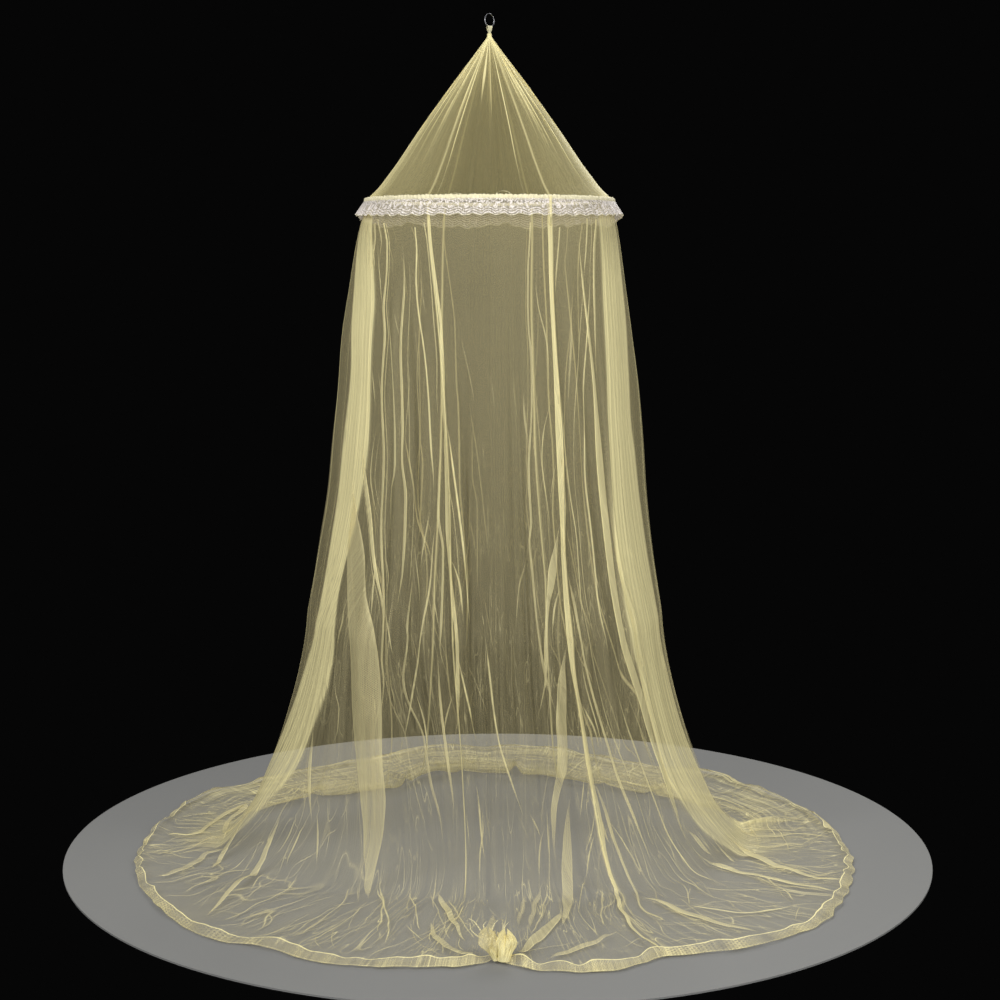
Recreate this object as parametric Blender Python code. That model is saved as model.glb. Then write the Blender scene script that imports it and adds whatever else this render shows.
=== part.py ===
"""Mosquito net canopy with hoop: a cone of net gathered at a tape loop, a round hoop in a sewn
casing with a lace frill, and four long net panels that spread out in a pool on the floor.

Metres, +Z up, -Y is the front. The origin is the highest inner point of the hanging ring, where a
ceiling hook carries the canopy, so the floor lies at z = -FLOOR_DROP."""

import math

import bmesh
import bpy
import numpy as np

# ---------------------------------------------------------------- driving dimensions
FLOOR_DROP = 2.0525  # hook to floor
GAP = 0.0003  # between pieces that touch
SEAM_GAP = 0.0005  # between two panels, where their seam allowances meet

RING_RADIUS = 0.0160  # centreline of the wire ring
RING_WIRE = 0.0030
RING_TURN = 48.0  # degrees that the ring is turned from the front

TAPE_WIDTH = 0.0150
TAPE_NECK_WIDTH = 0.0056
TAPE_THICK = 0.0016
TAPE_LOOP_DROP = 0.0150  # from the wire down to where the two plies meet
TAPE_TAIL = 0.0125  # sewn down inside the neck of the cone

HOOP_RADIUS = 0.3000
HOOP_ROD = 0.0050
HOOP_HEIGHT = 1.6044  # over the floor
CASING_OUTER = 0.0050  # radius of the casing's section
CASING_SLOT = 0.0020  # open joint along the inside of the casing

NECK_HEIGHT = 2.0062
NECK_RADIUS = 0.0052
CONE_FOOT_RADIUS = HOOP_RADIUS - 0.0006
CONE_THICK = 0.0012
CONE_BULGE = 0.004  # how far the middle of the cone stands out from a straight line
CONE_PLEATS = 19
CONE_PLEAT_DEPTH = 0.0060

LACE_DROP = 0.0390
LACE_FLARE = 29.0  # degrees from vertical
LACE_THICK = 0.0010
LACE_SCALLOPS = 46
LACE_SCALLOP_DEPTH = 0.0055
LACE_WAVE = 0.0022  # the frill's gathers
LACE_REACH = 0.0038  # from the hoop's centreline out to the frill's sewn edge

NET_THICK = 0.0012
HEM_WIDTH = 0.0280
HEM_THICK = 0.0024  # the hem is doubled
SKIRT_TOP = HOOP_HEIGHT - CASING_OUTER - 1.3 * GAP  # height of the skirt's sewn edge
KNEE_HEIGHT = 0.592  # below this the net runs outwards to the floor
FOOT_FLARE = 0.036
FLARE_HEIGHT = 0.12
FLOOR_CLEAR = 0.0004  # under the cloth that lies on the floor

KNOT_PATH = 1.90  # where the bunch sits on the front panel, and where it is tied
KNOT_TIE_PATH = 1.96
KNOT_SIZE = (0.0760, 0.0620, 0.0700)

# ---------------------------------------------------------------- shape of the skirt
# height over the floor, reach on the left, reach on the right
WALL = (
    (SKIRT_TOP, HOOP_RADIUS, HOOP_RADIUS),
    (1.517, 0.322, 0.316),
    (1.395, 0.343, 0.334),
    (1.275, 0.362, 0.351),
    (1.154, 0.372, 0.366),
    (1.030, 0.385, 0.376),
    (0.908, 0.397, 0.384),
    (0.772, 0.421, 0.400),
    (0.592, 0.456, 0.430),
)
# angle from the front (right is positive), radius where the net meets the floor
FOOT = (
    (-180, 0.590),
    (-165, 0.620),
    (-150, 0.510),
    (-135, 0.540),
    (-120, 0.620),
    (-100, 0.680),
    (-80, 0.680),
    (-60, 0.600),
    (-40, 0.515),
    (-20, 0.465),
    (0, 0.450),
    (20, 0.475),
    (40, 0.510),
    (60, 0.570),
    (80, 0.640),
    (100, 0.650),
    (120, 0.610),
    (135, 0.560),
    (150, 0.560),
    (165, 0.575),
    (180, 0.590),
)
# angle, radius of the hem's outer edge
HEM = (
    (-180, 0.900),
    (-168, 0.925),
    (-157, 0.850),
    (-138, 0.840),
    (-126, 0.850),
    (-118, 0.885),
    (-98, 0.873),
    (-80, 0.886),
    (-57, 0.910),
    (-40, 0.935),
    (-33, 0.908),
    (-21, 0.922),
    (-8, 0.892),
    (-1.5, 0.868),
    (1.3, 0.848),
    (4, 0.884),
    (16, 0.937),
    (24, 0.905),
    (37, 0.955),
    (50, 0.964),
    (62, 0.935),
    (77, 0.911),
    (91, 0.893),
    (106, 0.885),
    (125, 0.868),
    (131, 0.895),
    (142, 0.832),
    (153, 0.828),
    (165, 0.888),
    (175, 0.920),
    (180, 0.900),
)
# How the net's own lines wander sideways on their way down. Each row is one line of the cloth:
# its angle at each of LINE_HEIGHTS, at the foot and at the hem.
LINE_HEIGHTS = (SKIRT_TOP, 1.28, 1.03, 0.79, 0.55, 0.30)  # the first is the hoop itself
LINES = (
    (-180, -180, -180, -180, -180, -180, -180, -180),
    (-157, -159, -160, -160, -160, -160, -160, -160),
    (-118, -112, -112, -114, -116, -118, -120, -122),
    (-90, -65, -63, -66, -76, -84, -95, -95),
    (-68, -50, -49, -48, -57, -62, -74, -72),
    (-58, -45, -43, -42, -41, -37, -34, -32),
    (-45, -34, -30, -27, -25, -19, -17, -18),
    (-28, -18, -14, -12, -10, -8, -7, -8),
    (0, 0, 1, 2, 2, 3, 2, 1.3),
    (28, 25, 26, 25, 26, 31, 36, 25),
    (44, 41, 43, 46, 51, 57, 62, 64),
    (58, 50, 49, 50, 57, 63, 72, 73),
    (82, 69, 70, 76, 80, 81, 92, 93),
    (118, 110, 110, 112, 114, 116, 120, 122),
    (159, 162, 162, 161, 160, 160, 160, 160),
    (180, 180, 180, 180, 180, 180, 180, 180),
)
# panel, the two seams it runs between (angles at the hoop)
PANELS = (
    ("front", -28.0, 28.0),
    ("right", 28.0, 159.0),
    ("back", 159.0, 203.0),
    ("left", 203.0, 332.0),
)
# Where the net is bunched in close pleats: angles at the hoop, number of pleats, depth
BUNCHES = (
    (-88.0, -69.0, 5, 0.0150),
    (60.0, 80.0, 5, 0.0140),
)
# Single folds: angle at the hoop, path where it starts, is fullest and ends, height, half width.
# Path runs 0 at the hoop, 1 at the floor, 2 at the hem.
FOLDS = (
    (-151.0, 0.08, 0.75, 1.80, 0.030, 0.026),
    (-137.0, 0.05, 0.50, 1.20, 0.020, 0.018),
    (-124.0, 0.30, 0.95, 1.70, 0.026, 0.024),
    (-107.0, 0.08, 0.50, 1.30, 0.022, 0.020),
    (-63.5, 0.90, 1.25, 1.98, 0.020, 0.020),
    (-57.0, 0.42, 0.70, 1.06, 0.026, 0.030),
    (-49.0, 0.03, 0.45, 1.00, 0.018, 0.013),
    (-44.0, 0.85, 1.35, 1.98, 0.016, 0.020),
    (-38.5, 0.03, 0.40, 1.20, 0.016, 0.012),
    (-28.0, 0.00, 0.35, 1.90, 0.010, 0.008),
    (-17.5, 0.15, 0.60, 1.25, 0.016, 0.013),
    (-7.0, 0.45, 1.08, 1.97, 0.024, 0.017),
    (6.0, 0.90, 1.50, 1.99, 0.022, 0.024),
    (11.0, 0.20, 0.60, 1.10, 0.016, 0.013),
    (19.5, 0.50, 0.95, 1.90, 0.026, 0.024),
    (28.0, 0.00, 0.35, 1.95, 0.011, 0.009),
    (36.5, 0.03, 0.50, 1.97, 0.020, 0.016),
    (45.0, 0.08, 0.70, 1.98, 0.026, 0.021),
    (53.5, 0.03, 0.55, 1.95, 0.020, 0.016),
    (90.0, 0.80, 1.30, 1.98, 0.020, 0.024),
    (101.0, 0.08, 0.60, 1.40, 0.022, 0.020),
    (116.0, 0.05, 0.45, 1.10, 0.018, 0.018),
    (129.0, 0.25, 0.90, 1.80, 0.030, 0.026),
    (145.0, 0.06, 0.60, 1.30, 0.020, 0.020),
    (173.0, 0.08, 0.80, 1.80, 0.026, 0.024),
    (-171.0, 0.10, 0.55, 1.25, 0.020, 0.018),
)
# Rows of the panels: heights over the floor, then shares of the way from the foot to the hem
WALL_ROWS = (SKIRT_TOP, 1.545, 1.47, 1.36, 1.22, 1.06, 0.90, 0.74, 0.58, 0.44, 0.31, 0.19, 0.10, 0.035)
FLOOR_ROWS = (0.0, 0.22, 0.48, 0.74)
HEM_STEP = 0.003
COLUMN_STEP = 8.5  # degrees at the hoop, between the folds
COLUMN_LEAST = 2.6
PLEAT_COLUMNS = 4  # columns for each pleat of a bunch
PLEAT_LEAST = 0.6
FOLD_REACH = 0.42  # a typical radius of the wall, which turns a fold's width into degrees


def floor_z(height):
    """A height over the floor as a z of this part."""
    return height - FLOOR_DROP


def smooth(x):
    x = min(1.0, max(0.0, x))
    return x * x * (3 - 2 * x)


def read_table(rows, x):
    return float(np.interp(x, [row[0] for row in rows], [row[1] for row in rows]))


def round_angle(angle):
    return (angle + 180.0) % 360.0 - 180.0


# ---------------------------------------------------------------- the draped surface
def glide(x, places, values):
    """A smooth curve through the values, which turns softly at each of the places."""
    k = min(len(places) - 2, max(0, int(np.searchsorted(places, x)) - 1))
    step = places[k + 1] - places[k]
    t = (x - places[k]) / step
    runs = np.diff(values) / np.diff(places)
    product = runs[:-1] * runs[1:]
    turns = np.where(product > 0, 2 * product / (runs[:-1] + runs[1:] + 1e-12), 0.0)
    slopes = np.concatenate(([runs[0]], turns, [runs[-1]]))
    here, there = slopes[k] * step, slopes[k + 1] * step
    rise = values[k] * (1 + 2 * t) * (1 - t) ** 2 + values[k + 1] * t * t * (3 - 2 * t)
    return float(rise + here * t * (1 - t) ** 2 - there * t * t * (1 - t))


def line_angle(hoop_angle, path):
    """Where the line of cloth that leaves the hoop at this angle lies at this path."""
    turns = 360.0 * math.floor((hoop_angle + 180.0) / 360.0)
    places = [1 - h / LINE_HEIGHTS[0] for h in LINE_HEIGHTS] + [1.0, 2.0]
    starts = [row[0] for row in LINES]
    at = [np.interp(hoop_angle - turns, starts, [row[k] for row in LINES]) for k in range(len(places))]
    return turns + glide(path, places, at)


def wall_reach(height, angle):
    """Radius of the wall at a height over the floor."""
    share = (1 - math.sin(math.radians(angle))) / 2
    levels = [row[0] for row in WALL][::-1]
    z = max(height, KNEE_HEIGHT)
    left = np.interp(z, levels, [row[1] for row in WALL][::-1])
    right = np.interp(z, levels, [row[2] for row in WALL][::-1])
    base = float(left * share + right * (1 - share))
    run = max(0.0, 1 - height / KNEE_HEIGHT) ** 1.5
    flare = FOOT_FLARE * max(0.0, 1 - height / FLARE_HEIGHT) ** 2
    foot = read_table(FOOT, round_angle(angle)) - FOOT_FLARE
    return base + (foot - base) * run + flare


def bunch_depth(path):
    """Share of a bunch's depth along the path: shallow at the hoop and on the floor."""
    return 0.12 + 0.88 * smooth(path / 0.10) - 0.72 * smooth((path - 0.75) / 0.6)


def fold_lift(hoop_angle, path, radius):
    """How far the folds push the cloth out from its plain surface."""
    lift = 0.0
    angle = round_angle(hoop_angle)
    for first, last, pleats, depth in BUNCHES:
        if first < angle < last:
            turn = (angle - first) / (last - first) * pleats
            raised = smooth((path - 0.70) / 0.25)
            lift += depth * bunch_depth(path) * (raised + math.sin(2 * math.pi * turn))
    for centre, start, peak, end, height, half_width in FOLDS:
        if not start < path < end:
            continue
        away = math.radians(abs(round_angle(angle - centre))) * radius
        if away < half_width:
            along = smooth((path - start) / (peak - start)) * smooth((end - path) / (end - peak))
            lift += height * along * (0.5 + 0.5 * math.cos(math.pi * away / half_width))
    return lift


def skirt_point(hoop_angle, path):
    """A point of the outer face of the skirt."""
    angle = line_angle(hoop_angle, path)
    height = LINE_HEIGHTS[0] * max(0.0, 1 - path)
    foot = wall_reach(0.0, angle)
    radius = wall_reach(height, angle)
    if path > 1:
        hem = read_table(HEM, round_angle(angle))
        radius = foot + (hem - foot) * (path - 1)
    lean = math.radians(90.0) * smooth((path - 0.70) / 0.32)
    lift = fold_lift(hoop_angle, path, radius)
    radius += lift * math.cos(lean)
    height += lift * math.sin(lean) + HEM_THICK + FLOOR_CLEAR
    a = math.radians(angle)
    top_drop = (HEM_THICK + FLOOR_CLEAR) * (1 - smooth(path))
    return np.array((radius * math.sin(a), -radius * math.cos(a), floor_z(height - top_drop)))


def hem_path(hoop_angle, back):
    """The path that lies this far inside the hem's edge."""
    angle = line_angle(hoop_angle, 2.0)
    length = read_table(HEM, round_angle(angle)) - wall_reach(0.0, line_angle(hoop_angle, 1.0))
    return 2.0 - back / length


def surface_normal(point_at, u, v, du, dv, v_range):
    """Outward normal of point_at(u, v) from central differences."""
    low, high = max(v_range[0], v - dv), min(v_range[1], v + dv)
    across = point_at(u + du, v) - point_at(u - du, v)
    down = point_at(u, high) - point_at(u, low)
    normal = np.cross(down, across)
    return normal / np.linalg.norm(normal)


# ---------------------------------------------------------------- Blender helpers
def material(name, colour, roughness, metallic=0.0):
    mat = bpy.data.materials.new(name)
    mat.use_nodes = True
    shader = mat.node_tree.nodes["Principled BSDF"]
    shader.inputs["Base Color"].default_value = (*colour, 1.0)
    shader.inputs["Roughness"].default_value = roughness
    shader.inputs["Metallic"].default_value = metallic
    return mat


def add_object(name, bm, mat):
    bmesh.ops.recalc_face_normals(bm, faces=bm.faces)
    mesh = bpy.data.meshes.new(name)
    bm.to_mesh(mesh)
    bm.free()
    mesh.materials.append(mat)
    mesh.shade_smooth()
    obj = bpy.data.objects.new(name, mesh)
    bpy.context.scene.collection.objects.link(obj)
    return obj


def sheet(name, outer, inner, mat, closed=False):
    """A cloth solid between two equal grids of points, listed row by row."""
    bm = bmesh.new()
    faces = []
    grids = [[[bm.verts.new(p) for p in row] for row in grid] for grid in (outer, inner)]
    rows, columns = len(outer), len(outer[0])
    last = columns if closed else columns - 1
    for r in range(rows - 1):
        for c in range(last):
            d = (c + 1) % columns
            for grid in grids:
                faces.append((grid[r][c], grid[r][d], grid[r + 1][d], grid[r + 1][c]))
    front, back = grids
    for c in range(last):
        d = (c + 1) % columns
        for r in (0, rows - 1):
            faces.append((front[r][c], front[r][d], back[r][d], back[r][c]))
    if not closed:
        for r in range(rows - 1):
            for c in (0, columns - 1):
                faces.append((front[r][c], front[r + 1][c], back[r + 1][c], back[r][c]))
    for corners in faces:
        bm.faces.new(corners)
    return add_object(name, bm, mat)


def tube(name, sections, mat, caps=False):
    """A skin over closed sections; the last joins the first unless it has caps."""
    bm = bmesh.new()
    loops = [[bm.verts.new(p) for p in section] for section in sections]
    count = len(loops)
    for i in range(count - 1 if caps else count):
        here, there = loops[i], loops[(i + 1) % count]
        for k in range(len(here)):
            m = (k + 1) % len(here)
            bm.faces.new((here[k], here[m], there[m], there[k]))
    if caps:
        bm.faces.new(loops[0])
        bm.faces.new(loops[-1])
    return add_object(name, bm, mat)


# ---------------------------------------------------------------- pieces
def make_ring(mat):
    """Wire ring, its highest inner point at the origin."""
    centre_z = -(RING_RADIUS - RING_WIRE / 2)
    turn = math.radians(RING_TURN)
    along = np.array((math.cos(turn), math.sin(turn), 0.0))
    across = np.array((-math.sin(turn), math.cos(turn), 0.0))
    up = np.array((0.0, 0.0, 1.0))
    sections = []
    for i in range(36):
        t = 2 * math.pi * i / 36
        out = along * math.cos(t) + up * math.sin(t)
        middle = out * RING_RADIUS + up * centre_z
        ring = [2 * math.pi * k / 8 for k in range(8)]
        sections.append([middle + RING_WIRE / 2 * (out * math.cos(k) + across * math.sin(k)) for k in ring])
    return tube("hanging_ring", sections, mat)


def make_tape(mat):
    """Tape folded over the ring's bottom wire; its two plies meet and run down into the neck."""
    wire_z = -(2 * RING_RADIUS - RING_WIRE / 2)
    turn = math.radians(RING_TURN)
    along = np.array((math.cos(turn), math.sin(turn), 0.0))
    across = np.array((-math.sin(turn), math.cos(turn), 0.0))
    inner = RING_WIRE / 2 + 3 * GAP
    top = [math.radians(a) for a in range(0, 181, 30)]
    hole = [(inner * math.cos(a), inner * math.sin(a)) for a in top]
    hole += [(-inner * 0.9, -0.004), (-inner * 0.45, -0.008), (0.0, -TAPE_LOOP_DROP * 0.75)]
    hole += [(inner * 0.45, -0.008), (inner * 0.9, -0.004)]
    outer = inner + TAPE_THICK
    edge = [(outer * math.cos(a), outer * math.sin(a)) for a in top]
    edge += [(-outer * 0.92, -0.0045), (-outer * 0.72, -0.009), (0.0, -TAPE_LOOP_DROP)]
    edge += [(outer * 0.72, -0.009), (outer * 0.92, -0.0045)]
    tail_at = len(top) + 2

    def place(side, drop, width_share):
        fade = smooth(-drop / TAPE_LOOP_DROP)
        half = (TAPE_WIDTH * (1 - fade) + TAPE_NECK_WIDTH * fade) / 2
        w = half * width_share
        rise = (RING_RADIUS - math.sqrt(RING_RADIUS**2 - w * w)) * (1 - fade)
        z = wire_z + drop + rise
        return along * w + across * side + np.array((0.0, 0.0, z))

    bm = bmesh.new()
    widths = (-1.0, -0.5, 0.0, 0.5, 1.0)
    outers = [[bm.verts.new(place(*p, w)) for p in edge] for w in widths]
    holes = [[bm.verts.new(place(*p, w)) for p in hole] for w in widths]
    count = len(edge)
    for i in range(len(widths) - 1):
        for k in range(count):
            m = (k + 1) % count
            bm.faces.new((outers[i][k], outers[i][m], outers[i + 1][m], outers[i + 1][k]))
            bm.faces.new((holes[i][k], holes[i][m], holes[i + 1][m], holes[i + 1][k]))
    for i in (0, len(widths) - 1):
        for k in range(count):
            m = (k + 1) % count
            bm.faces.new((outers[i][k], outers[i][m], holes[i][m], holes[i][k]))
    # the tail grows out of the faces either side of the lowest edge
    bm.normal_update()
    sides = [{o[k] for o in outers for k in (tail_at, tail_at + step)} for step in (-1, 1)]
    low = [f for f in bm.faces if any(side.issuperset(f.verts) for side in sides)]
    grown = bmesh.ops.extrude_face_region(bm, geom=low)
    new_verts = [v for v in grown["geom"] if isinstance(v, bmesh.types.BMVert)]
    bmesh.ops.delete(bm, geom=low, context="FACES")
    tail_z = wire_z - TAPE_LOOP_DROP - TAPE_TAIL
    for v in new_verts:
        side = v.co.x * across[0] + v.co.y * across[1]
        w = v.co.x * along[0] + v.co.y * along[1]
        narrow = min(1.0, TAPE_NECK_WIDTH / 2 / max(abs(w), 1e-6))
        at = along * (w * narrow) + across * (side * 0.30)
        v.co = (at[0], at[1], tail_z)
    return add_object("tape_loop", bm, mat)


def casing_point(angle_round, angle_section, radius):
    a, b = math.radians(angle_round), math.radians(angle_section)
    reach = HOOP_RADIUS + radius * math.cos(b)
    return np.array((reach * math.sin(a), -reach * math.cos(a), floor_z(HOOP_HEIGHT) + radius * math.sin(b)))


def make_hoop(mat):
    steps = 60
    ring = [60 * k for k in range(6)]
    sections = [[casing_point(360 * i / steps, b, HOOP_ROD / 2) for b in ring] for i in range(steps)]
    return tube("hoop", sections, mat)


def make_casing(mat):
    """Binding wrapped round the rod. Its joint stays open a little along the inside."""
    steps = 60
    inner = HOOP_ROD / 2 + GAP
    half_slot = math.degrees(CASING_SLOT / 2 / inner)
    slot_at = 200.0
    turns = [slot_at + half_slot + (360 - 2 * half_slot) * k / 7 for k in range(8)]
    sections = []
    for i in range(steps):
        a = 360 * i / steps
        outside = [casing_point(a, b, CASING_OUTER) for b in turns]
        inside = [casing_point(a, b, inner) for b in reversed(turns)]
        sections.append(outside + inside)
    return tube("hoop_casing", sections, mat)


def make_lace(mat):
    """Gathered lace strip with a scalloped lower edge, hung outside the top of the skirt."""
    per_scallop = 4
    columns = LACE_SCALLOPS * per_scallop
    top_reach = HOOP_RADIUS + LACE_REACH
    top_height = HOOP_HEIGHT - math.sqrt(CASING_OUTER**2 - LACE_REACH**2) - 3.5 * GAP
    flare = math.radians(LACE_FLARE)
    outer, inner = [], []
    for share in (0.0, 1.0):
        far, near = [], []
        for c in range(columns):
            a = 2 * math.pi * c / columns
            scallop = 0.5 - 0.5 * math.cos(2 * math.pi * c / per_scallop)
            drop = LACE_DROP * share + LACE_SCALLOP_DEPTH * (scallop - 1) * share
            wave = LACE_WAVE * share * math.sin(2 * math.pi * c / per_scallop + 0.8)
            wave += LACE_WAVE * 0.7 * share * math.sin(a * 17 + 1.3)
            reach = top_reach + drop * math.tan(flare) + wave
            for grid, step in ((far, 0.0), (near, LACE_THICK)):
                r = reach - step * math.cos(flare)
                z = floor_z(top_height - drop - step * math.sin(flare) * share)
                grid.append(np.array((r * math.sin(a), -r * math.cos(a), z)))
        outer.append(far)
        inner.append(near)
    return sheet("lace_frill", outer, inner, mat, closed=True)


def cone_point(angle, path):
    """A point of the cone's outer face, 0 at the neck and 1 at the hoop."""
    foot_height = HOOP_HEIGHT + CASING_OUTER + GAP + 0.61 * CONE_THICK
    run, rise = CONE_FOOT_RADIUS - NECK_RADIUS, NECK_HEIGHT - foot_height
    radius = NECK_RADIUS + run * path
    height = NECK_HEIGHT - rise * path
    bulge = CONE_BULGE * math.sin(math.pi * path)
    depth = CONE_PLEAT_DEPTH * smooth(path / 0.35) * (1 - 0.93 * smooth((path - 0.35) / 0.65))
    wander = 0.5 * math.sin(math.radians(angle) * 3 + 0.7) + 0.35 * math.sin(math.radians(angle) * 5 + 2)
    pleat = math.sin(math.radians(angle) * CONE_PLEATS + wander)
    out = bulge + depth * 0.5 * pleat
    radius += out * rise / math.hypot(run, rise)
    height += out * run / math.hypot(run, rise)
    a = math.radians(angle)
    return np.array((radius * math.sin(a), -radius * math.cos(a), floor_z(height)))


def panel_columns(first, last, step):
    count = max(2, round((last - first) / step))
    return [first + (last - first) * k / count for k in range(count + 1)]


def make_cone_panel(name, first, last, mat):
    shares = (0.0, 0.06, 0.18, 0.38, 0.68, 1.0)
    outer, inner = [], []
    for share in shares:
        radius = NECK_RADIUS + (HOOP_RADIUS - NECK_RADIUS) * share
        trim = math.degrees(SEAM_GAP / 2 / radius)
        far, near = [], []
        for angle in panel_columns(first, last, 360 / CONE_PLEATS / 4):
            normal = surface_normal(cone_point, angle, share, 0.5, 0.02, (0.0, 1.0))
            point = cone_point(min(last - trim, max(first + trim, angle)), share)
            far.append(point)
            near.append(point - normal * CONE_THICK)
        outer.append(far)
        inner.append(near)
    return sheet("cone_" + name, outer, inner, mat)


def skirt_columns(first, last):
    """Hoop angles of a panel's columns: one on each fold and beside it, and even steps between."""
    marks = [first, last]
    for bunch_first, bunch_last, pleats, _ in BUNCHES:
        steps = pleats * PLEAT_COLUMNS
        marks += [bunch_first + (bunch_last - bunch_first) * k / steps for k in range(steps + 1)]
    for fold in FOLDS:
        width = math.degrees(fold[5] / FOLD_REACH)
        marks += [fold[0] - width, fold[0], fold[0] + width]
    marks += [angle + turn for angle in marks[2:] for turn in (-360.0, 360.0)]
    marks = sorted(m for m in marks if first <= m <= last)
    columns = [marks[0]]
    for mark in marks[1:]:
        gap = mark - columns[-1]
        in_bunch = any(a - 0.01 <= round_angle(mark) <= b + 0.01 for a, b, _, _ in BUNCHES)
        least = PLEAT_LEAST if in_bunch else COLUMN_LEAST
        if gap < least:
            continue
        extra = math.ceil(gap / COLUMN_STEP)
        columns += [columns[-1] + gap * k / extra for k in range(1, extra + 1)]
    if last - columns[-1] > 1e-6:
        columns[-1] = last
    return columns


def make_skirt_panel(name, first, last, mat):
    columns = skirt_columns(first, last)
    paths = [1 - h / WALL_ROWS[0] for h in WALL_ROWS]
    outer, inner = [], []
    row_count = len(WALL_ROWS) + len(FLOOR_ROWS) + 3
    for row in range(row_count):
        far, near = [], []
        for angle in columns:
            if row < len(paths):
                path, thick = paths[row], NET_THICK
            elif row < row_count - 3:
                share = FLOOR_ROWS[row - len(paths)]
                path, thick = 1 + share * (hem_path(angle, HEM_WIDTH) - 1), NET_THICK
            elif row == row_count - 3:
                path, thick = hem_path(angle, HEM_WIDTH + HEM_STEP), NET_THICK
            elif row == row_count - 2:
                path, thick = hem_path(angle, HEM_WIDTH), HEM_THICK
            else:
                path, thick = 2.0, HEM_THICK
            normal = surface_normal(skirt_point, angle, path, 0.35, 0.01, (0.0, 2.0))
            radius = np.linalg.norm(skirt_point(angle, path)[:2])
            trim = math.degrees(SEAM_GAP / 2 / radius)
            point = skirt_point(min(last - trim, max(first + trim, angle)), path)
            if path > 1:
                normal = np.array((0.0, 0.0, 1.0)) * 0.6 + normal * 0.4
                normal /= np.linalg.norm(normal)
            far.append(point)
            near.append(point - normal * thick)
        outer.append(far)
        inner.append(near)
    return sheet("skirt_" + name, outer, inner, mat)


def make_knot(mat):
    """Bunch of net tied at the middle of the front hem, fanned out above the tie."""
    around, levels = 20, 9
    centre = skirt_point(0.0, KNOT_PATH)
    tie = skirt_point(0.0, KNOT_TIE_PATH)
    base = max(centre[2], tie[2]) + GAP
    bm = bmesh.new()
    loops = []
    for i in range(1, levels):
        share = i / levels
        belly = math.sin(math.pi * share**0.82)
        height = base + KNOT_SIZE[2] * (0.5 - 0.5 * math.cos(math.pi * share))
        forward = 0.6 * (1 - smooth(share * 1.6))
        x0, y0 = centre[:2] + (tie[:2] - centre[:2]) * forward
        loop = []
        for k in range(around):
            t = 2 * math.pi * k / around
            pleat = 1 + 0.10 * (-1) ** k * smooth(share * 3) + 0.07 * math.sin(2 * t + 0.6)
            dx = KNOT_SIZE[0] / 2 * belly * pleat * math.cos(t)
            dy = KNOT_SIZE[1] / 2 * belly * pleat * math.sin(t)
            loop.append(bm.verts.new((x0 + dx, y0 + dy, height)))
        loops.append(loop)
    low = bm.verts.new((*(centre[:2] * 0.5 + tie[:2] * 0.5), base))
    high = bm.verts.new((centre[0], centre[1], base + KNOT_SIZE[2] * 0.94))
    for i in range(len(loops) - 1):
        for k in range(around):
            m = (k + 1) % around
            bm.faces.new((loops[i][k], loops[i][m], loops[i + 1][m], loops[i + 1][k]))
    for k in range(around):
        m = (k + 1) % around
        bm.faces.new((low, loops[0][m], loops[0][k]))
        bm.faces.new((high, loops[-1][k], loops[-1][m]))
    return add_object("hem_knot", bm, mat)


def main():
    for obj in list(bpy.data.objects):
        bpy.data.objects.remove(obj)
    steel = material("zinc_plated_wire", (0.33, 0.33, 0.34), 0.35, 1.0)
    rod = material("lacquered_rod", (0.62, 0.60, 0.52), 0.45)
    tape = material("woven_tape", (0.84, 0.78, 0.46), 0.80)
    net = material("lemon_net", (0.76, 0.70, 0.42), 0.70)
    binding = material("net_binding", (0.84, 0.79, 0.50), 0.75)
    lace = material("white_lace", (0.82, 0.80, 0.82), 0.75)
    make_ring(steel)
    make_tape(tape)
    make_hoop(rod)
    make_casing(binding)
    make_lace(lace)
    for name, first, last in PANELS:
        make_cone_panel(name, first, last, net)
        make_skirt_panel(name, first, last, net)
    make_knot(net)


main()
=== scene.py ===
"""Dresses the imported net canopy: sheer cone and skirt, cased hoop, lace frill, hem knot and hanger.

Metres, +Z up, -Y is the front. The origin is the inside of the ring's top, where a hook carries it.
Angles run round the canopy in degrees from the front, positive to the right. A path runs down the
cloth: 0 at the hoop, 1 where the net meets the floor and 2 at the hem's edge."""

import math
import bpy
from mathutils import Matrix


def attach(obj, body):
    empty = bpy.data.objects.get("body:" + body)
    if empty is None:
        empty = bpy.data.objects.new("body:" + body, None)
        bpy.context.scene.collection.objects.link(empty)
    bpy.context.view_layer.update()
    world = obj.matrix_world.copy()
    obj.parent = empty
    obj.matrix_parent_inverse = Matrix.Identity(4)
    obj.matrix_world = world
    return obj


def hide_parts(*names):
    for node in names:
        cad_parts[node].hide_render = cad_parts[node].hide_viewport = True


bl_info = {
    "name": "Hooped Net Canopy",
    "version": (1, 0, 0),
    "blender": (4, 5, 0),
    "location": "3D View > Sidebar > Canopy",
    "description": "Builds the cloth, lace and fittings of a hooped net canopy round its packed solids",
    "category": "Object",
}

import bpy
import numpy as np

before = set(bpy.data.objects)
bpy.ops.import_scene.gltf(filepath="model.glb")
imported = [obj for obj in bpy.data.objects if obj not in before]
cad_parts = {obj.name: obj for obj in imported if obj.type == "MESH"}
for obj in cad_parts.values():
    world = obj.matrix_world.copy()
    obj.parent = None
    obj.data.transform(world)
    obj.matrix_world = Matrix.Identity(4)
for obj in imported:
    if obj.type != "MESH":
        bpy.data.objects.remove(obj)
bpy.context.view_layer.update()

# ------------------------------------------------------------------ shape tables
# height over the floor, reach on the left, reach on the right
WALL = (
    (1.599, 0.300, 0.300),
    (1.517, 0.322, 0.316),
    (1.395, 0.343, 0.334),
    (1.275, 0.362, 0.351),
    (1.154, 0.372, 0.366),
    (1.030, 0.385, 0.376),
    (0.908, 0.397, 0.384),
    (0.772, 0.421, 0.400),
    (0.592, 0.456, 0.430),
)
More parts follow.
